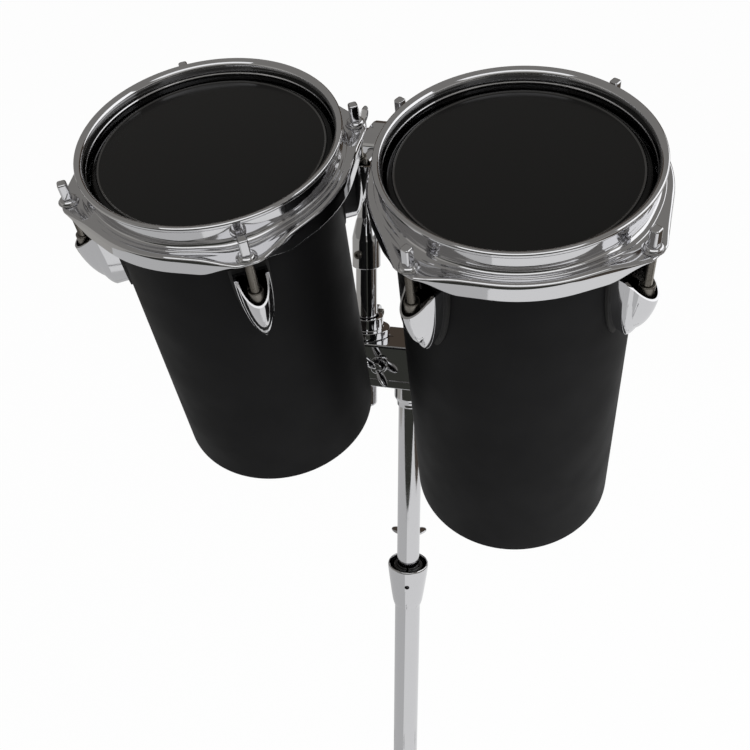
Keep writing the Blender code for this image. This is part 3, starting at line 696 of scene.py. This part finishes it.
def hoop_piece():
    """The pressed hoop: spun, then its skirt drawn out and up into four ears, drilled for the rods."""
    plain, eared = hoop_profiles()
    piece = lathed(plain, 240)
    flat = math.radians(4.0)
    slope = math.acos(SKIRT_RADIUS / EAR_RADIUS)
    rise = math.radians(15.0)
    eighth = math.pi / 4
    for vert in piece.data.vertices:
        radius = vert.co.xy.length / MM
        height = vert.co.z / MM
        angle = math.atan2(vert.co.y, vert.co.x)
        off = abs((angle + eighth) % (2 * eighth) - eighth)
        if off >= flat + slope:
            continue
        # The ear's sides run straight, as tangents to the skirt, and the rise starts and ends softly
        tangent = SKIRT_RADIUS / math.cos(min(flat + slope - off, slope))
        outward = (tangent - SKIRT_RADIUS) / (EAR_RADIUS - SKIRT_RADIUS)
        share = min(max((rise + flat - off) / rise, 0.0), 1.0)
        upward = share * share * (3 - 2 * share)
        near = min(range(len(plain)), key=lambda i: (plain[i][0] - radius) ** 2 + (plain[i][1] - height) ** 2)
        radius += (eared[near][0] - plain[near][0]) * outward
        height += (eared[near][1] - plain[near][1]) * upward
        vert.co = Vector((radius * math.cos(angle), radius * math.sin(angle), height)) * MM
    at_rods = [turn(90 * k, "Z") @ shift(ROD_CIRCLE, 0, 0) for k in range(4)]
    holes = [moved(rod_of(SCREW_BORE, -30, -15, 24), place) for place in at_rods]
    return shaded(cut(piece, *holes), CHROME, 38.0)


def rod_piece():
    """A tension rod: square key head, its flange, and a shank with a visible thread."""
    flange = [(0, -17.2), (4.4, -17.2), (5.5, -18.4), (5.5, -19.4), (6.6, -19.5), (6.6, -20.35), (2.8, -20.4)]
    rings = []
    for turn_number in range(46):
        start = -22.0 - turn_number
        rings += [(2.85, start), (2.45, start - 0.5)]
    profile = rounded(flange, 0.5, 2) + rings + [(2.2, -69.5), (0, -70.0)]
    piece = lathed(profile, 20)
    head = block((-3.0, -3.0, -17.6), (3.0, 3.0, -5.1), 1.5, 4)
    shaded(moved(joined(piece, head), shift(ROD_CIRCLE, 0, 0)), CHROME, 35.0)
    return second_finish(piece, ZINC, lambda radius, height: height < -20.5)


# Lugs: upright half bullets, X outwards from the drum's axis
def bullet_width(share):
    """The half width of the outline as a share of the rim's, from 0 at the rim to 1 at the tip."""
    return (1 - share**2.2) ** 0.62


def bullet_side(half_width, rim, tip, count=14):
    """Points down one side of the outline from the rim to the tip, closer together near the tip."""
    points = []
    for i in range(count + 1):
        share = math.sin(math.pi / 2 * i / count)
        points.append((half_width * bullet_width(share), rim + (tip - rim) * share))
    return points


def half_bullet(half_width, depth, rim, tip, steps=48):
    """A solid half bullet on the plane x = 0, spun half a turn and stretched to its depth."""
    side = [(0, 0, rim)] + [(0, width, height) for width, height in bullet_side(half_width, rim, tip)]
    piece = traced(side)
    bpy.ops.mesh.spin(steps=steps, angle=math.pi, center=(0, 0, 0), axis=(0, 0, 1))
    bpy.ops.mesh.select_all(action="SELECT")
    bpy.ops.mesh.remove_doubles(threshold=0.002 * MM)
    bpy.ops.mesh.select_all(action="DESELECT")
    bpy.ops.mesh.select_mode(type="EDGE")
    bpy.ops.mesh.select_non_manifold()
    bpy.ops.mesh.edge_face_add()
    bpy.ops.mesh.select_mode(type="VERT")
    bpy.ops.mesh.select_all(action="SELECT")
    bpy.ops.transform.resize(value=(depth / half_width, 1, 1), center_override=(0, 0, 0))
    sealed()
    return piece


def bullet_plate(half_width, rim, tip, inner, outer):
    """The same outline as an upright plate between two radii."""
    side = bullet_side(half_width, rim, tip)
    outline = side + [(-y, h) for y, h in reversed(side[:-1])]
    piece = slab(outline, inner, outer)
    return moved(piece, ALONG_X)


def sloping_cutter(depth):
    """What is above the lug's rim, which slopes down from the shell to the front."""
    slope = (LUG_RIM_FRONT - LUG_RIM) / depth
    past = 3.0
    inner, outer = LUG_BASE_OUT - past, LUG_REACH + past
    low = [(inner, LUG_RIM - past * slope), (outer, LUG_RIM_FRONT + past * slope)]
    return moved(slab(low + [(outer, -30), (inner, -30)], -20, 20), turn(90, "X"))


def lug_piece():
    """A cast half-bullet lug: flanged base, open bowl with a sloping rim, web and swivel nut."""
    depth = LUG_REACH - LUG_BASE_OUT
    base = bullet_plate(LUG_HALF_WIDTH + 0.5, LUG_RIM, LUG_TIP, LUG_SEAT, LUG_BASE_OUT)
    # The bowl is a little narrower and shorter than the flange behind it, which leaves the casting's seam
    flange = half_bullet(LUG_HALF_WIDTH + 0.3, 11.0, LUG_RIM - 0.2, LUG_TIP + 0.2)
    bowl = half_bullet(LUG_HALF_WIDTH - 0.7, depth + 1.1, LUG_RIM - 0.1, LUG_TIP + 5.5)
    flange_at, bowl_at = shift(LUG_BASE_OUT - 0.6, 0, 0), shift(LUG_BASE_OUT - 1.1, 0, 0)
    piece = joined(base, moved(flange, flange_at), moved(bowl, bowl_at))
    hollow_base = bullet_plate(LUG_HALF_WIDTH - LUG_WALL, LUG_RIM + 2, LUG_TIP + 6, 82.0, LUG_BASE_OUT + 0.4)
    hollow_bowl = half_bullet(LUG_HALF_WIDTH - LUG_WALL - 0.7, depth - LUG_WALL, LUG_RIM + 2, LUG_TIP + 9)
    cut(piece, hollow_base, moved(hollow_bowl, shift(LUG_BASE_OUT, 0, 0)), sloping_cutter(depth))
    web = slab([(81.0, -4), (ROD_CIRCLE, -4), (ROD_CIRCLE, 4), (81.0, 4)], NUT_BOTTOM, -62)
    nut = moved(round_bar(NUT_RADIUS, NUT_TOP, NUT_BOTTOM, 0.8, 4, 32), shift(ROD_CIRCLE, 0, 0))
    joined(piece, web, nut)
    cut(piece, moved(rod_of(3.2, -72, -40, 24), shift(ROD_CIRCLE, 0, 0)))
    shaded(piece, CHROME, 30.0)

    def on_nut(radius, height):
        """The nut's faces have their middles above or below the middle of the rim's own face."""
        return radius < NUT_RADIUS + 0.2 and (height > NUT_TOP - 1 or NUT_BOTTOM - 1 < height < -53)

    return second_finish(piece, ZINC, on_nut, ROD_CIRCLE)


def lug_gasket():
    """The rubber between a lug and the shell, a little wider than the lug."""
    plate = bullet_plate(LUG_HALF_WIDTH + 2.4, LUG_RIM + 2.0, LUG_TIP - 4.5, 74.0, LUG_SEAT - 0.05)
    cut(plate, rod_of(SHELL_RADIUS + 0.05, -140, -20, 144))
    return shaded(plate, RUBBER)


def build_drums():
    hoop, head, rod, lug, gasket = hoop_piece(), head_piece(), rod_piece(), lug_piece(), lug_gasket()
    for side in SIDES:
        place = drum_frame(side)
        shell = shell_piece(SHELL_ENDS[side])
        fitted(shell, f"{side}_wrapped_shell", place, f"{side}_shell")
        fitted(head, f"{side}_film_head", place, f"{side}_head")
        fitted(hoop, f"{side}_flanged_hoop", place, f"{side}_hoop")
        for k in range(4):
            spot = place @ turn(90 * k, "Z")
            fitted(lug, f"{side}_bullet_lug_{k + 1}", spot, f"{side}_lug_{k + 1}")
            trim(gasket, f"{side}_lug_gasket_{k + 1}", spot, f"{side}_lug_{k + 1}")
            fitted(rod, f"{side}_key_rod_{k + 1}", spot, f"{side}_tension_rod_{k + 1}")
        deleted(shell)
    deleted(hoop, head, rod, lug, gasket)


# Stand pieces, in the stand's frame unless a comment says otherwise
def eased(piece, width=0.4, angle=50.0, segments=2):
    """Round edges where two faces meet sharply."""
    limit = math.radians(angle)
    settings = {"width": width * MM, "segments": segments, "limit_method": "ANGLE", "angle_limit": limit}
    return applied(piece, "BEVEL", settings)


def tube_piece(outer, inner, bottom, top):
    """A plain drawn tube with eased ends."""
    profile = [
        (inner, (top + bottom) / 2),
        (inner, top),
        (outer, top),
        (outer, bottom),
        (inner, bottom),
        (inner, (top + bottom) / 2),
    ]
    return shaded(lathed(rounded(profile, 0.5, 2), 72), CHROME)


def post_piece():
    """A solid post with rounded ends, down through the platform."""
    profile = [(0, POST_TOP), (POST_RADIUS, POST_TOP), (POST_RADIUS, POST_BOTTOM + 3), (0, POST_BOTTOM)]
    return shaded(lathed(rounded(profile, 2.4, 4), 64), CHROME)


def cup_piece():
    """The flared cup of the height clamp, with the boss for its wing bolt and its sight hole and slit."""
    profile = [
        (13.05, 505.0),
        (13.05, 521.0),
        (15.0, 521.5),
        (17.4, 533.0),
        (18.2, CUP_RIM - 0.4),
        (19.2, CUP_RIM + 0.6),
        (20.2, CUP_RIM - 0.8),
        (20.0, CUP_RIM - 4.0),
        (18.6, 527.0),
        (16.4, 510.0),
        (14.9, 500.0),
        (13.6, 495.5),
        (13.05, 494.2),
        (13.05, 505.0),
    ]
    cup = lathed(rounded(profile, 2.0, 3), 96)
    to_bolt = turn(CLAMP_AZIMUTH, "Z")
    boss = moved(block((17.0, -7.0, 524), (26.0, 7.0, 564), 3.0, 4), to_bolt)
    joined(cup, boss)
    screw_hole = moved(rod_of(SCREW_BORE, 10, 32, 24), to_bolt @ shift(0, 0, CLAMP_HEIGHT) @ turn(90, "Y"))
    sight_hole = moved(rod_of(2.4, 10, 25, 32), turn(-79, "Z") @ shift(0, 0, 525) @ turn(90, "Y"))
    slit = moved(block((12, -0.4, 490), (20, 0.4, 504)), turn(-78, "Z"))
    cut(cup, screw_hole, sight_hole, slit)
    return shaded(eased(cup, 0.3), CHROME)


def bushing_piece():
    """The split nylon sleeve that the cup squeezes onto the upper tube."""
    profile = [(11.45, 532), (11.45, 541), (14.4, 541), (14.4, 522), (11.45, 522), (11.45, 532)]
    sleeve = lathed(rounded(profile, 0.6, 2), 72)
    slit = moved(block((8, -1.3, 515), (18, 1.3, 560)), turn(-80, "Z"))
    return shaded(cut(sleeve, slit), NYLON)


def stadium(half_length, radius, count=24):
    """The outline of a bar with round ends."""
    return arc(half_length, 0, radius, -90, 90, count) + arc(-half_length, 0, radius, 90, 270, count)


def platform_piece():
    """The cast double holder: rounded body over a flange, four clamp bosses, split bores and tube socket."""
    body = eased(slab(stadium(POST_X, PLATFORM_HALF_DEPTH), PLATFORM_BOTTOM + 2, PLATFORM_TOP), 2.2, 60, 4)
    lip = slab(stadium(POST_X, PLATFORM_HALF_DEPTH + 1.0), PLATFORM_BOTTOM, PLATFORM_BOTTOM + 7.5)
    profile = [(0, 745), (15.2, 745), (15.2, 725.5), (12.6, 722), (12.6, 717), (0, 717)]
    socket = lathed(rounded(profile, 1.5, 3), 64)
    joined(body, eased(lip, 0.8, 60, 4), socket)
    for side in (-1, 1):
        pinch = shift(side * PINCH_X, 0, PINCH_HEIGHT) @ turn(90, "X")
        joined(body, moved(round_bar(8, 29, 20, 1.0), pinch), moved(round_bar(8, -20, -40, 1.0), pinch))
    for side in (-1, 1):
        inner, outer = sorted((side * 17.0, side * 40.0))
        pinch = shift(side * PINCH_X, 0, PINCH_HEIGHT) @ turn(90, "X")
        cut(
            body,
            moved(rod_of(POST_BORE, 730, 800, 64), shift(side * POST_X, 0, 0)),
            block((inner, -0.8, 735), (outer, 0.8, 790)),
            moved(rod_of(SCREW_BORE, -45, 45, 24), pinch),
        )
    tube_slit = moved(block((-17, -0.8, 700), (-10, 0.8, 742)), turn(40, "Z"))
    cut(body, rod_of(UPPER_TUBE_RADIUS + 0.4, 700, 775, 64), tube_slit)
    return shaded(eased(body, 0.35), CHROME)


def memory_lock_piece():
    """The flanged lock ring on the platform with its upright pinch ear."""
    seat = PLATFORM_TOP + 0.3
    inside = [(11.5, 795), (11.5, 801)]
    profile = inside + [(15.2, 801), (15.2, 790.2), (21.5, 790.2), (21.5, seat), (11.5, seat), inside[0]]
    ring = lathed(rounded(profile, 0.9, 3), 72)
    outline = [(12, 786), (26, 786)] + arc(19.5, 799, 6.5, 0, 180, 18) + [(12, 798)]
    ear = moved(slab(outline, -5.5, 5.5), ACROSS_Y)
    eased(ear, 0.8)
    joined(ring, ear)
    cut(ring, rod_of(POST_BORE, 770, 830, 64), block((5, -0.8, 770), (30, 0.8, 830)))
    cut(ring, moved(rod_of(2.6, -12, 12, 24), shift(20, 0, 798) @ turn(90, "X")))
    return shaded(eased(ring, 0.3), CHROME)


def cap_screw(radius, height):
    """A socket cap screw's head, lying on z = 0, with its hexagon."""
    head = round_bar(radius, height, 0, 0.5, 2, 32)
    return shaded(cut(head, rod_of(radius * 0.55, height * 0.45, height + 2, 6)), ZINC)


def tilter_body(half_length, top, rear_corner, left, right):
    """A bar along the hinge whose section has round corners, a smaller one at the top of its rear."""
    low = TILTER_CORNER - TILTER_HALF_HEIGHT
    across = half_length - TILTER_CORNER
    outline = arc(half_length - rear_corner, top - rear_corner, rear_corner, 0, 90, 8)
    outline += arc(-across, top - TILTER_CORNER, TILTER_CORNER, 90, 180, 16)
    outline += arc(-across, low, TILTER_CORNER, 180, 270, 16)
    outline += arc(across, low, TILTER_CORNER, 270, 360, 16)
    bar = slab(outline, left, right)
    eased(bar, 1.2)
    return moved(bar, ALONG_X)


def yoke_piece(inner_face):
    """The tilter's base, X along the hinge and the hinge at height 0: collar, dome, neck and split head."""
    drop = -HINGE_HEIGHT
    profile = [
        (0, -10),
        (8.0, -10),
        (8.0, 893 + drop),
        (9.4, 889 + drop),
        (11.8, 879 + drop),
        (12.75, 874 + drop),
        (12.75, 847.5 + drop),
        (0, 847.5 + drop),
    ]
    stem = lathed(rounded(profile, 1.4, 3), 64)
    head = tilter_body(15, YOKE_TOP, 1.5, -20, inner_face)
    clearance = block((inner_face, -20, -27), (30, 20, 20))
    joined(stem, head)
    cut(stem, clearance, moved(rod_of(TRUNNION_RADIUS + 0.5, -30, 30, 48), turn(90, "Y")))
    cut(stem, block((-25, 5, -0.8), (20, 20, 0.8)), moved(rod_of(3.0, -8, 25, 24), shift(-13, 10.6, 0)))
    cut(stem, rod_of(POST_BORE, 840 + drop, 874 + drop, 64))
    return shaded(eased(stem, 0.3), CHROME)


def tilt_block_piece():
    """The block that turns on the yoke and holds the arm; X along the hinge, Y away from the drum."""
    width, length = BLOCK_HALF_WIDTH, BLOCK_HALF_LENGTH
    body = tilter_body(length, TILTER_HALF_HEIGHT, TILTER_CORNER, -width, width)
    trunnion = moved(rod_of(TRUNNION_RADIUS, -width - 26, -width + 4, 48), turn(90, "Y"))
    joined(body, trunnion)
    cut(body, moved(rod_of(ARM_ROD_RADIUS + 0.45, 5.0, length + 5, 40), turn(90, "X")))
    return shaded(eased(body, 0.3), CHROME)


def arm_piece(block_radius, leg_height):
    """The L-shaped rod in the plane of the bracket: x out from the drum, z along its axis."""
    bend = 14.0
    start = block_radius - 5.5
    level = leg_height
    top = -72.0
    bpy.ops.object.select_all(action="DESELECT")
    bpy.ops.mesh.primitive_circle_add(
        vertices=40, radius=ARM_ROD_RADIUS * MM, fill_type="NGON", location=(start * MM, 0, level * MM),
        rotation=(0, math.radians(90), 0),
    )
    piece = moved(bpy.context.object, Matrix.Identity(4))
    edit_all()
    along = (ARM_CIRCLE + bend - start) * MM
    bpy.ops.mesh.extrude_region_move(TRANSFORM_OT_translate={"value": (along, 0, 0)})
    centre = ((ARM_CIRCLE + bend) * MM, 0, (level + bend) * MM)
    bpy.ops.mesh.spin(steps=14, angle=math.radians(ARM_TURN), center=centre, axis=(0, 1, 0))
    bpy.ops.mesh.extrude_region_move(TRANSFORM_OT_translate={"value": (0, 0, (top - level - bend) * MM)})
    sealed()
    return shaded(eased(piece, 0.8), CHROME)


def bracket_piece():
    """The clamp on the shell's back, in the bracket's frame: saddle, neck, sleeve and bolt boss."""
    saddle = block((72, -16, BRACKET_BOTTOM - 6), (82, 16, BRACKET_TOP + 6), 2.6, 4)
    cut(saddle, rod_of(SHELL_RADIUS + 0.3, -170, -60, 144))
    neck = block((80, -8, BRACKET_BOTTOM + 2), (ARM_CIRCLE, 8, BRACKET_TOP - 2), 2.0, 4)
    sleeve = moved(round_bar(11.5, BRACKET_TOP, BRACKET_BOTTOM, 1.5, 3, 64), shift(ARM_CIRCLE, 0, 0))
    along_x = shift(0, 0, (BRACKET_TOP + BRACKET_BOTTOM) / 2) @ turn(90, "Y")
    boss = moved(round_bar(7.5, ARM_CIRCLE + 15, ARM_CIRCLE + 4, 0.8, 3, 48), along_x)
    joined(saddle, neck, sleeve, boss)
    cut(saddle, moved(rod_of(SCREW_BORE, ARM_CIRCLE, ARM_CIRCLE + 20, 24), along_x))
    cut(saddle, moved(rod_of(ARM_ROD_RADIUS + 0.45, -145, -80, 48), shift(ARM_CIRCLE, 0, 0)))
    return shaded(eased(saddle, 0.35), CHROME)


def wing_head():
    """The die-cast head of a wing bolt: a cone with two swept ears, blended into one skin."""
    cone = lathed([(0, 9.0), (4.8, 9.0), (6.2, 0.3), (0, 0.3)], 40)
    for side in (-1, 1):
        bpy.ops.object.select_all(action="DESELECT")
        bpy.ops.mesh.primitive_uv_sphere_add(segments=32, ring_count=16, radius=MM, scale=(6.2, 1.9, 10.2))
        ear = moved(bpy.context.object, Matrix.Identity(4))
        joined(cone, moved(ear, shift(side * 9.6, 0, 12.0) @ turn(side * 48, "Y")))
    applied(cone, "REMESH", {"mode": "VOXEL", "voxel_size": 0.45 * MM})
    applied(cone, "SMOOTH", {"factor": 0.5, "iterations": 8})
    return shaded(cone, CHROME, 60.0)


def wing_piece(head, length, radius=2.9):
    """A wing bolt with its threaded shank below z = 0."""
    bolt = copied(head, "wing_bolt", Matrix.Identity(4))
    rings = []
    for turn_number in range(int(length)):
        rings += [(radius, -turn_number - 0.1), (radius - 0.35, -turn_number - 0.6)]
    shank = lathed([(0, 3.0), (radius, 3.0)] + rings + [(radius - 0.8, -length), (0, -length)], 20)
    shaded(joined(bolt, shank), CHROME, 45.0)
    return second_finish(bolt, ZINC, lambda radius, height: height < -0.2)


# Tripod pieces, each in the frame of one leg with X outwards, at the height of its own pivots
def upright_profile(outline, near, far):
    """An (x, z) outline extruded across the leg."""
    return moved(slab(outline, near, far), ACROSS_Y)


def across(radius, half_length, x=0.0, z=0.0, steps=32):
    """A pin or a bore across the leg."""
    return moved(rod_of(radius, -half_length, half_length, steps), shift(x, 0, z) @ turn(90, "X"))


def hub_piece():
    """The sliding casting at the top of the legs: sleeve, three clevises and the bolt's boss."""
    profile = [(13.2, 0), (13.2, 14), (19.0, 14), (19.0, -16), (13.2, -16), (13.2, 0)]
    hub = lathed(rounded(profile, 1.2, 3), 72)
    bolt = turn(HUB_BOLT_AZIMUTH, "Z") @ turn(90, "Y")
    joined(hub, moved(round_bar(7, 22, 15, 0.8), bolt))
    for azimuth in LEG_AZIMUTHS:
        outline = [(16, -11), (26, -11)] + arc(25.5, 0, 7.5, -60, 60, 14) + [(26, 11), (16, 11)]
        joined(hub, moved(upright_profile(outline, -10, 10), turn(azimuth, "Z")))
    for azimuth in LEG_AZIMUTHS:
        place = turn(azimuth, "Z")
        cut(hub, moved(block((19.4, -6.4, -18), (40, 6.4, 17)), place))
        cut(hub, moved(across(2.95, 15, LEG_PIVOT_RADIUS), place))
    cut(hub, rod_of(13.2, -30, 30, 72), moved(rod_of(SCREW_BORE, 10, 30, 24), bolt))
    return shaded(eased(hub, 0.4), CHROME)


def spider_piece():
    """The fixed collar low on the tube, with a pinned tongue for each brace."""
    profile = [(13.1, 0), (13.1, 14), (17.0, 14), (17.0, -14), (13.1, -14), (13.1, 0)]
    spider = lathed(rounded(profile, 1.0, 3), 72)
    for azimuth in LEG_AZIMUTHS:
        outline = [(14.5, -8)] + arc(25, 0, 7.0, -90, 90, 14) + [(14.5, 8)]
        joined(spider, moved(upright_profile(outline, -6, 6), turn(azimuth, "Z")))
        joined(spider, moved(across(2.5, 9.6, LEG_PIVOT_RADIUS), turn(azimuth, "Z")))
    cut(spider, rod_of(13.1, -30, 30, 72))
    return shaded(eased(spider, 0.4), CHROME)


def leg_piece(slope, length):
    """A leg tube from its pivot down to its foot, with its pivot pin."""
    tube = moved(round_bar(LEG_RADIUS, length - 8, 1.5, 1.0), turn(180 - slope, "Y"))
    return shaded(joined(tube, across(2.5, 10.4)), CHROME)


def foot_piece(slope, drop, reach):
    """The rubber foot on the leg's end: ribbed sleeve, ball and flat tread, placed from the leg's pivot."""
    at_end = shift(reach, 0, -drop) @ turn(-slope, "Y")
    bpy.ops.object.select_all(action="DESELECT")
    bpy.ops.mesh.primitive_uv_sphere_add(segments=48, ring_count=24, radius=FOOT_BALL * MM)
    ball = moved(moved(bpy.context.object, Matrix.Identity(4)), shift(reach, 0, -drop))
    ribs = [(0, 34), (8.4, 34), (9.0, 33)]
    for rib in range(4):
        ribs += [(9.0, 30 - 4 * rib), (8.1, 29 - 4 * rib), (8.1, 28 - 4 * rib), (9.0, 27 - 4 * rib)]
    sleeve = moved(lathed(ribs + [(9.0, 4), (0, 4)], 48), at_end)
    joined(ball, sleeve)
    cut(ball, moved(rod_of(LEG_RADIUS + 0.4, 7.6, 50, 40), at_end))
    cut(ball, block((reach - 50, -50, -drop - 60), (reach + 50, 50, -drop - FOOT_CENTRE_HEIGHT)))
    return shaded(eased(ball, 0.4), RUBBER)


def brace_piece(slope, length):
    """A strap brace from its own pivot up to the leg: two pressed bars, a tie and the rivet heads."""
    outline = arc(length, 0, 5.5, -90, 90, 12) + arc(0, 0, 5.5, 90, 270, 12)
    bars = eased(upright_profile(outline, 6.6, 8.6), 0.4)
    other = eased(upright_profile(outline, -8.6, -6.6), 0.4)
    joined(bars, block((16, -8.0, -5.0), (24, 8.0, 5.0), 0.6, 2), other)
    for side in (-1, 1):
        dome = round_bar(3.8, 10.0, 8.0, 1.4, 4, 32)
        joined(bars, moved(dome, shift(length, 0, 0) @ turn(-90 * side, "X")))
    cut(bars, across(2.95, 15))
    return moved(shaded(bars, CHROME), turn(-slope, "Y"))


# Where the stand's pieces go
def bracket_frame(side):
    """The bracket's frame: the drum's origin, with X towards the bracket."""
    drum = drum_frame(side)
    return columns(joint_axis(f"{side}_bracket_wing_turn"), drum.col[2].xyz, drum.translation)


def yoke_frame(side):
    """The yoke's frame: on the post at the hinge's height, X along the hinge."""
    post = joint_point(f"{side}_swivel")
    hinge = joint_point(f"{side}_tilt")
    return columns(joint_axis(f"{side}_tilt"), Vector((0, 0, 1)), Vector((post.x, post.y, hinge.z)))


def block_frame(side):
    """The tilt block's frame: on the hinge, X along it and Y away from the drum."""
    axis = joint_axis(f"{side}_tilt")
    outward = joint_axis(f"{side}_bracket_wing_turn")
    return columns(axis, axis.cross(outward), joint_point(f"{side}_tilt"))


def build_tilters(wings):
    memory, post, screw = memory_lock_piece(), post_piece(), cap_screw(3.6, 3.0)
    block_model, bracket = tilt_block_piece(), bracket_piece()
    for side in SIDES:
        post_place = Matrix.Translation((joint_point(f"{side}_swivel").x, STAND_Y, 0))
        lock_place = post_place @ turn(LOCK_TURN, "Z")
        fitted(post, f"{side}_post_rod", post_place, f"{side}_post")
        fitted(memory, f"{side}_lock_ring", lock_place, f"{side}_memory_lock")
        ear = lock_place @ shift(20, -5.6, 798) @ turn(90, "X")
        trim(screw, f"{side}_lock_screw", ear, f"{side}_memory_lock")
        yoke_place, hinge_place, arm_place = yoke_frame(side), block_frame(side), bracket_frame(side)
        offset = (hinge_place.translation - yoke_place.translation).length / MM
        yoke = yoke_piece(offset - BLOCK_HALF_WIDTH - 0.4)
        fitted(yoke, f"{side}_yoke_casting", yoke_place, f"{side}_tilter_yoke")
        collar = yoke_place @ shift(0, -12.4, 861 - HINGE_HEIGHT) @ turn(90, "X")
        trim(screw, f"{side}_collar_screw", collar, f"{side}_tilter_yoke")
        fitted(block_model, f"{side}_swing_block", hinge_place, f"{side}_tilt_block")
        hinge = arm_place.inverted() @ hinge_place.translation / MM
        arm = arm_piece(hinge.x, hinge.z)
        fitted(arm, f"{side}_bent_arm", arm_place, f"{side}_arm")
        fitted(bracket, f"{side}_shell_clamp", arm_place, f"{side}_bracket")
        drum_axis = joint_axis(f"{side}_drum_slide")
        place_wing(wings["short"], f"{side}_bracket_wing", -drum_axis, f"{side}_bracket_wing_bolt")
        along = turn(TILTER_WING_TURN, "Z").to_3x3() @ joint_axis(f"{side}_tilt")
        place_wing(wings["tilter"], f"{side}_tilter_wing", along, f"{side}_tilter_wing_bolt")
        slant = turn(-PLATFORM_WING_TURN, "Y").to_3x3() @ Vector((1, 0, 0))
        place_wing(wings["long"], f"{side}_platform_wing", slant, f"{side}_platform_wing_bolt")
        deleted(yoke, arm)
    deleted(memory, post, block_model, bracket, screw)


def place_wing(model, name, across_ears, node):
    """A wing bolt on its joint, its ears lying along a direction."""
    joint = node.replace("_bolt", "_turn")
    fitted(model, name, columns(across_ears, joint_axis(joint), joint_point(joint)), node)


def build_column(wings):
    stand = Matrix.Translation((0, STAND_Y, 0))
    made = [
        (tube_piece(UPPER_TUBE_RADIUS, UPPER_TUBE_RADIUS - 1.5, 330, 774.5), "inner_tube", "upper_tube"),
        (tube_piece(LOWER_TUBE_RADIUS, LOWER_TUBE_BORE, 40, 520), "outer_tube", "lower_tube"),
        (cup_piece(), "clamp_cup", "height_clamp_cup"),
        (bushing_piece(), "split_bushing", "clamp_bushing"),
        (platform_piece(), "double_holder", "platform"),
    ]
    for model, name, node in made:
        fitted(model, name, stand, node)
        deleted(model)
    level = Vector((-joint_axis("height_wing_turn").y, joint_axis("height_wing_turn").x, 0))
    place_wing(wings["short"], "height_wing", level, "height_wing_bolt")
    place_wing(wings["short"], "hub_wing", Vector((0, 0, -1)), "hub_wing_bolt")


def build_tripod():
    leg_pivot = joint_point("leg_fold_1")
    brace_pivot = joint_point("brace_fold_1")
    reach = FOOT_CIRCLE - LEG_PIVOT_RADIUS
    drop = leg_pivot.z / MM - FOOT_CENTRE_HEIGHT
    slope = math.degrees(math.atan2(reach, drop))
    run = BRACE_ALONG_LEG * math.sin(math.radians(slope))
    rise = (leg_pivot.z - brace_pivot.z) / MM - BRACE_ALONG_LEG * math.cos(math.radians(slope))
    leg, foot = leg_piece(slope, math.hypot(reach, drop)), foot_piece(slope, drop, reach)
    brace = brace_piece(math.degrees(math.atan2(rise, run)), math.hypot(run, rise))
    hub, spider = hub_piece(), spider_piece()
    hub_place = Matrix.Translation((0, STAND_Y, leg_pivot.z))
    spider_place = Matrix.Translation((0, STAND_Y, brace_pivot.z))
    fitted(hub, "sliding_hub", hub_place, "leg_hub")
    fitted(spider, "spider_collar", spider_place, "spider")
    for number, azimuth in enumerate(LEG_AZIMUTHS, 1):
        at_pivot = turn(azimuth, "Z") @ shift(LEG_PIVOT_RADIUS, 0, 0)
        fitted(leg, f"leg_tube_{number}", hub_place @ at_pivot, f"leg_{number}")
        fitted(foot, f"rubber_foot_{number}", hub_place @ at_pivot, f"foot_{number}")
        fitted(brace, f"strap_brace_{number}", spider_place @ at_pivot, f"brace_{number}")
    deleted(leg, foot, brace, hub, spider)


def build_stand():
    head = wing_head()
    wings = {
        "short": wing_piece(head, 8.5),
        "tilter": wing_piece(head, 15, 2.5),
        "long": wing_piece(head, 76),
    }
    build_column(wings)
    build_tilters(wings)
    build_tripod()
    deleted(head, *wings.values())


build_drums()
build_stand()

stage_floor()
stage_world()
stage_cards()
stage_lights()
stage_camera()

bpy.context.scene.view_settings.view_transform = "Standard"
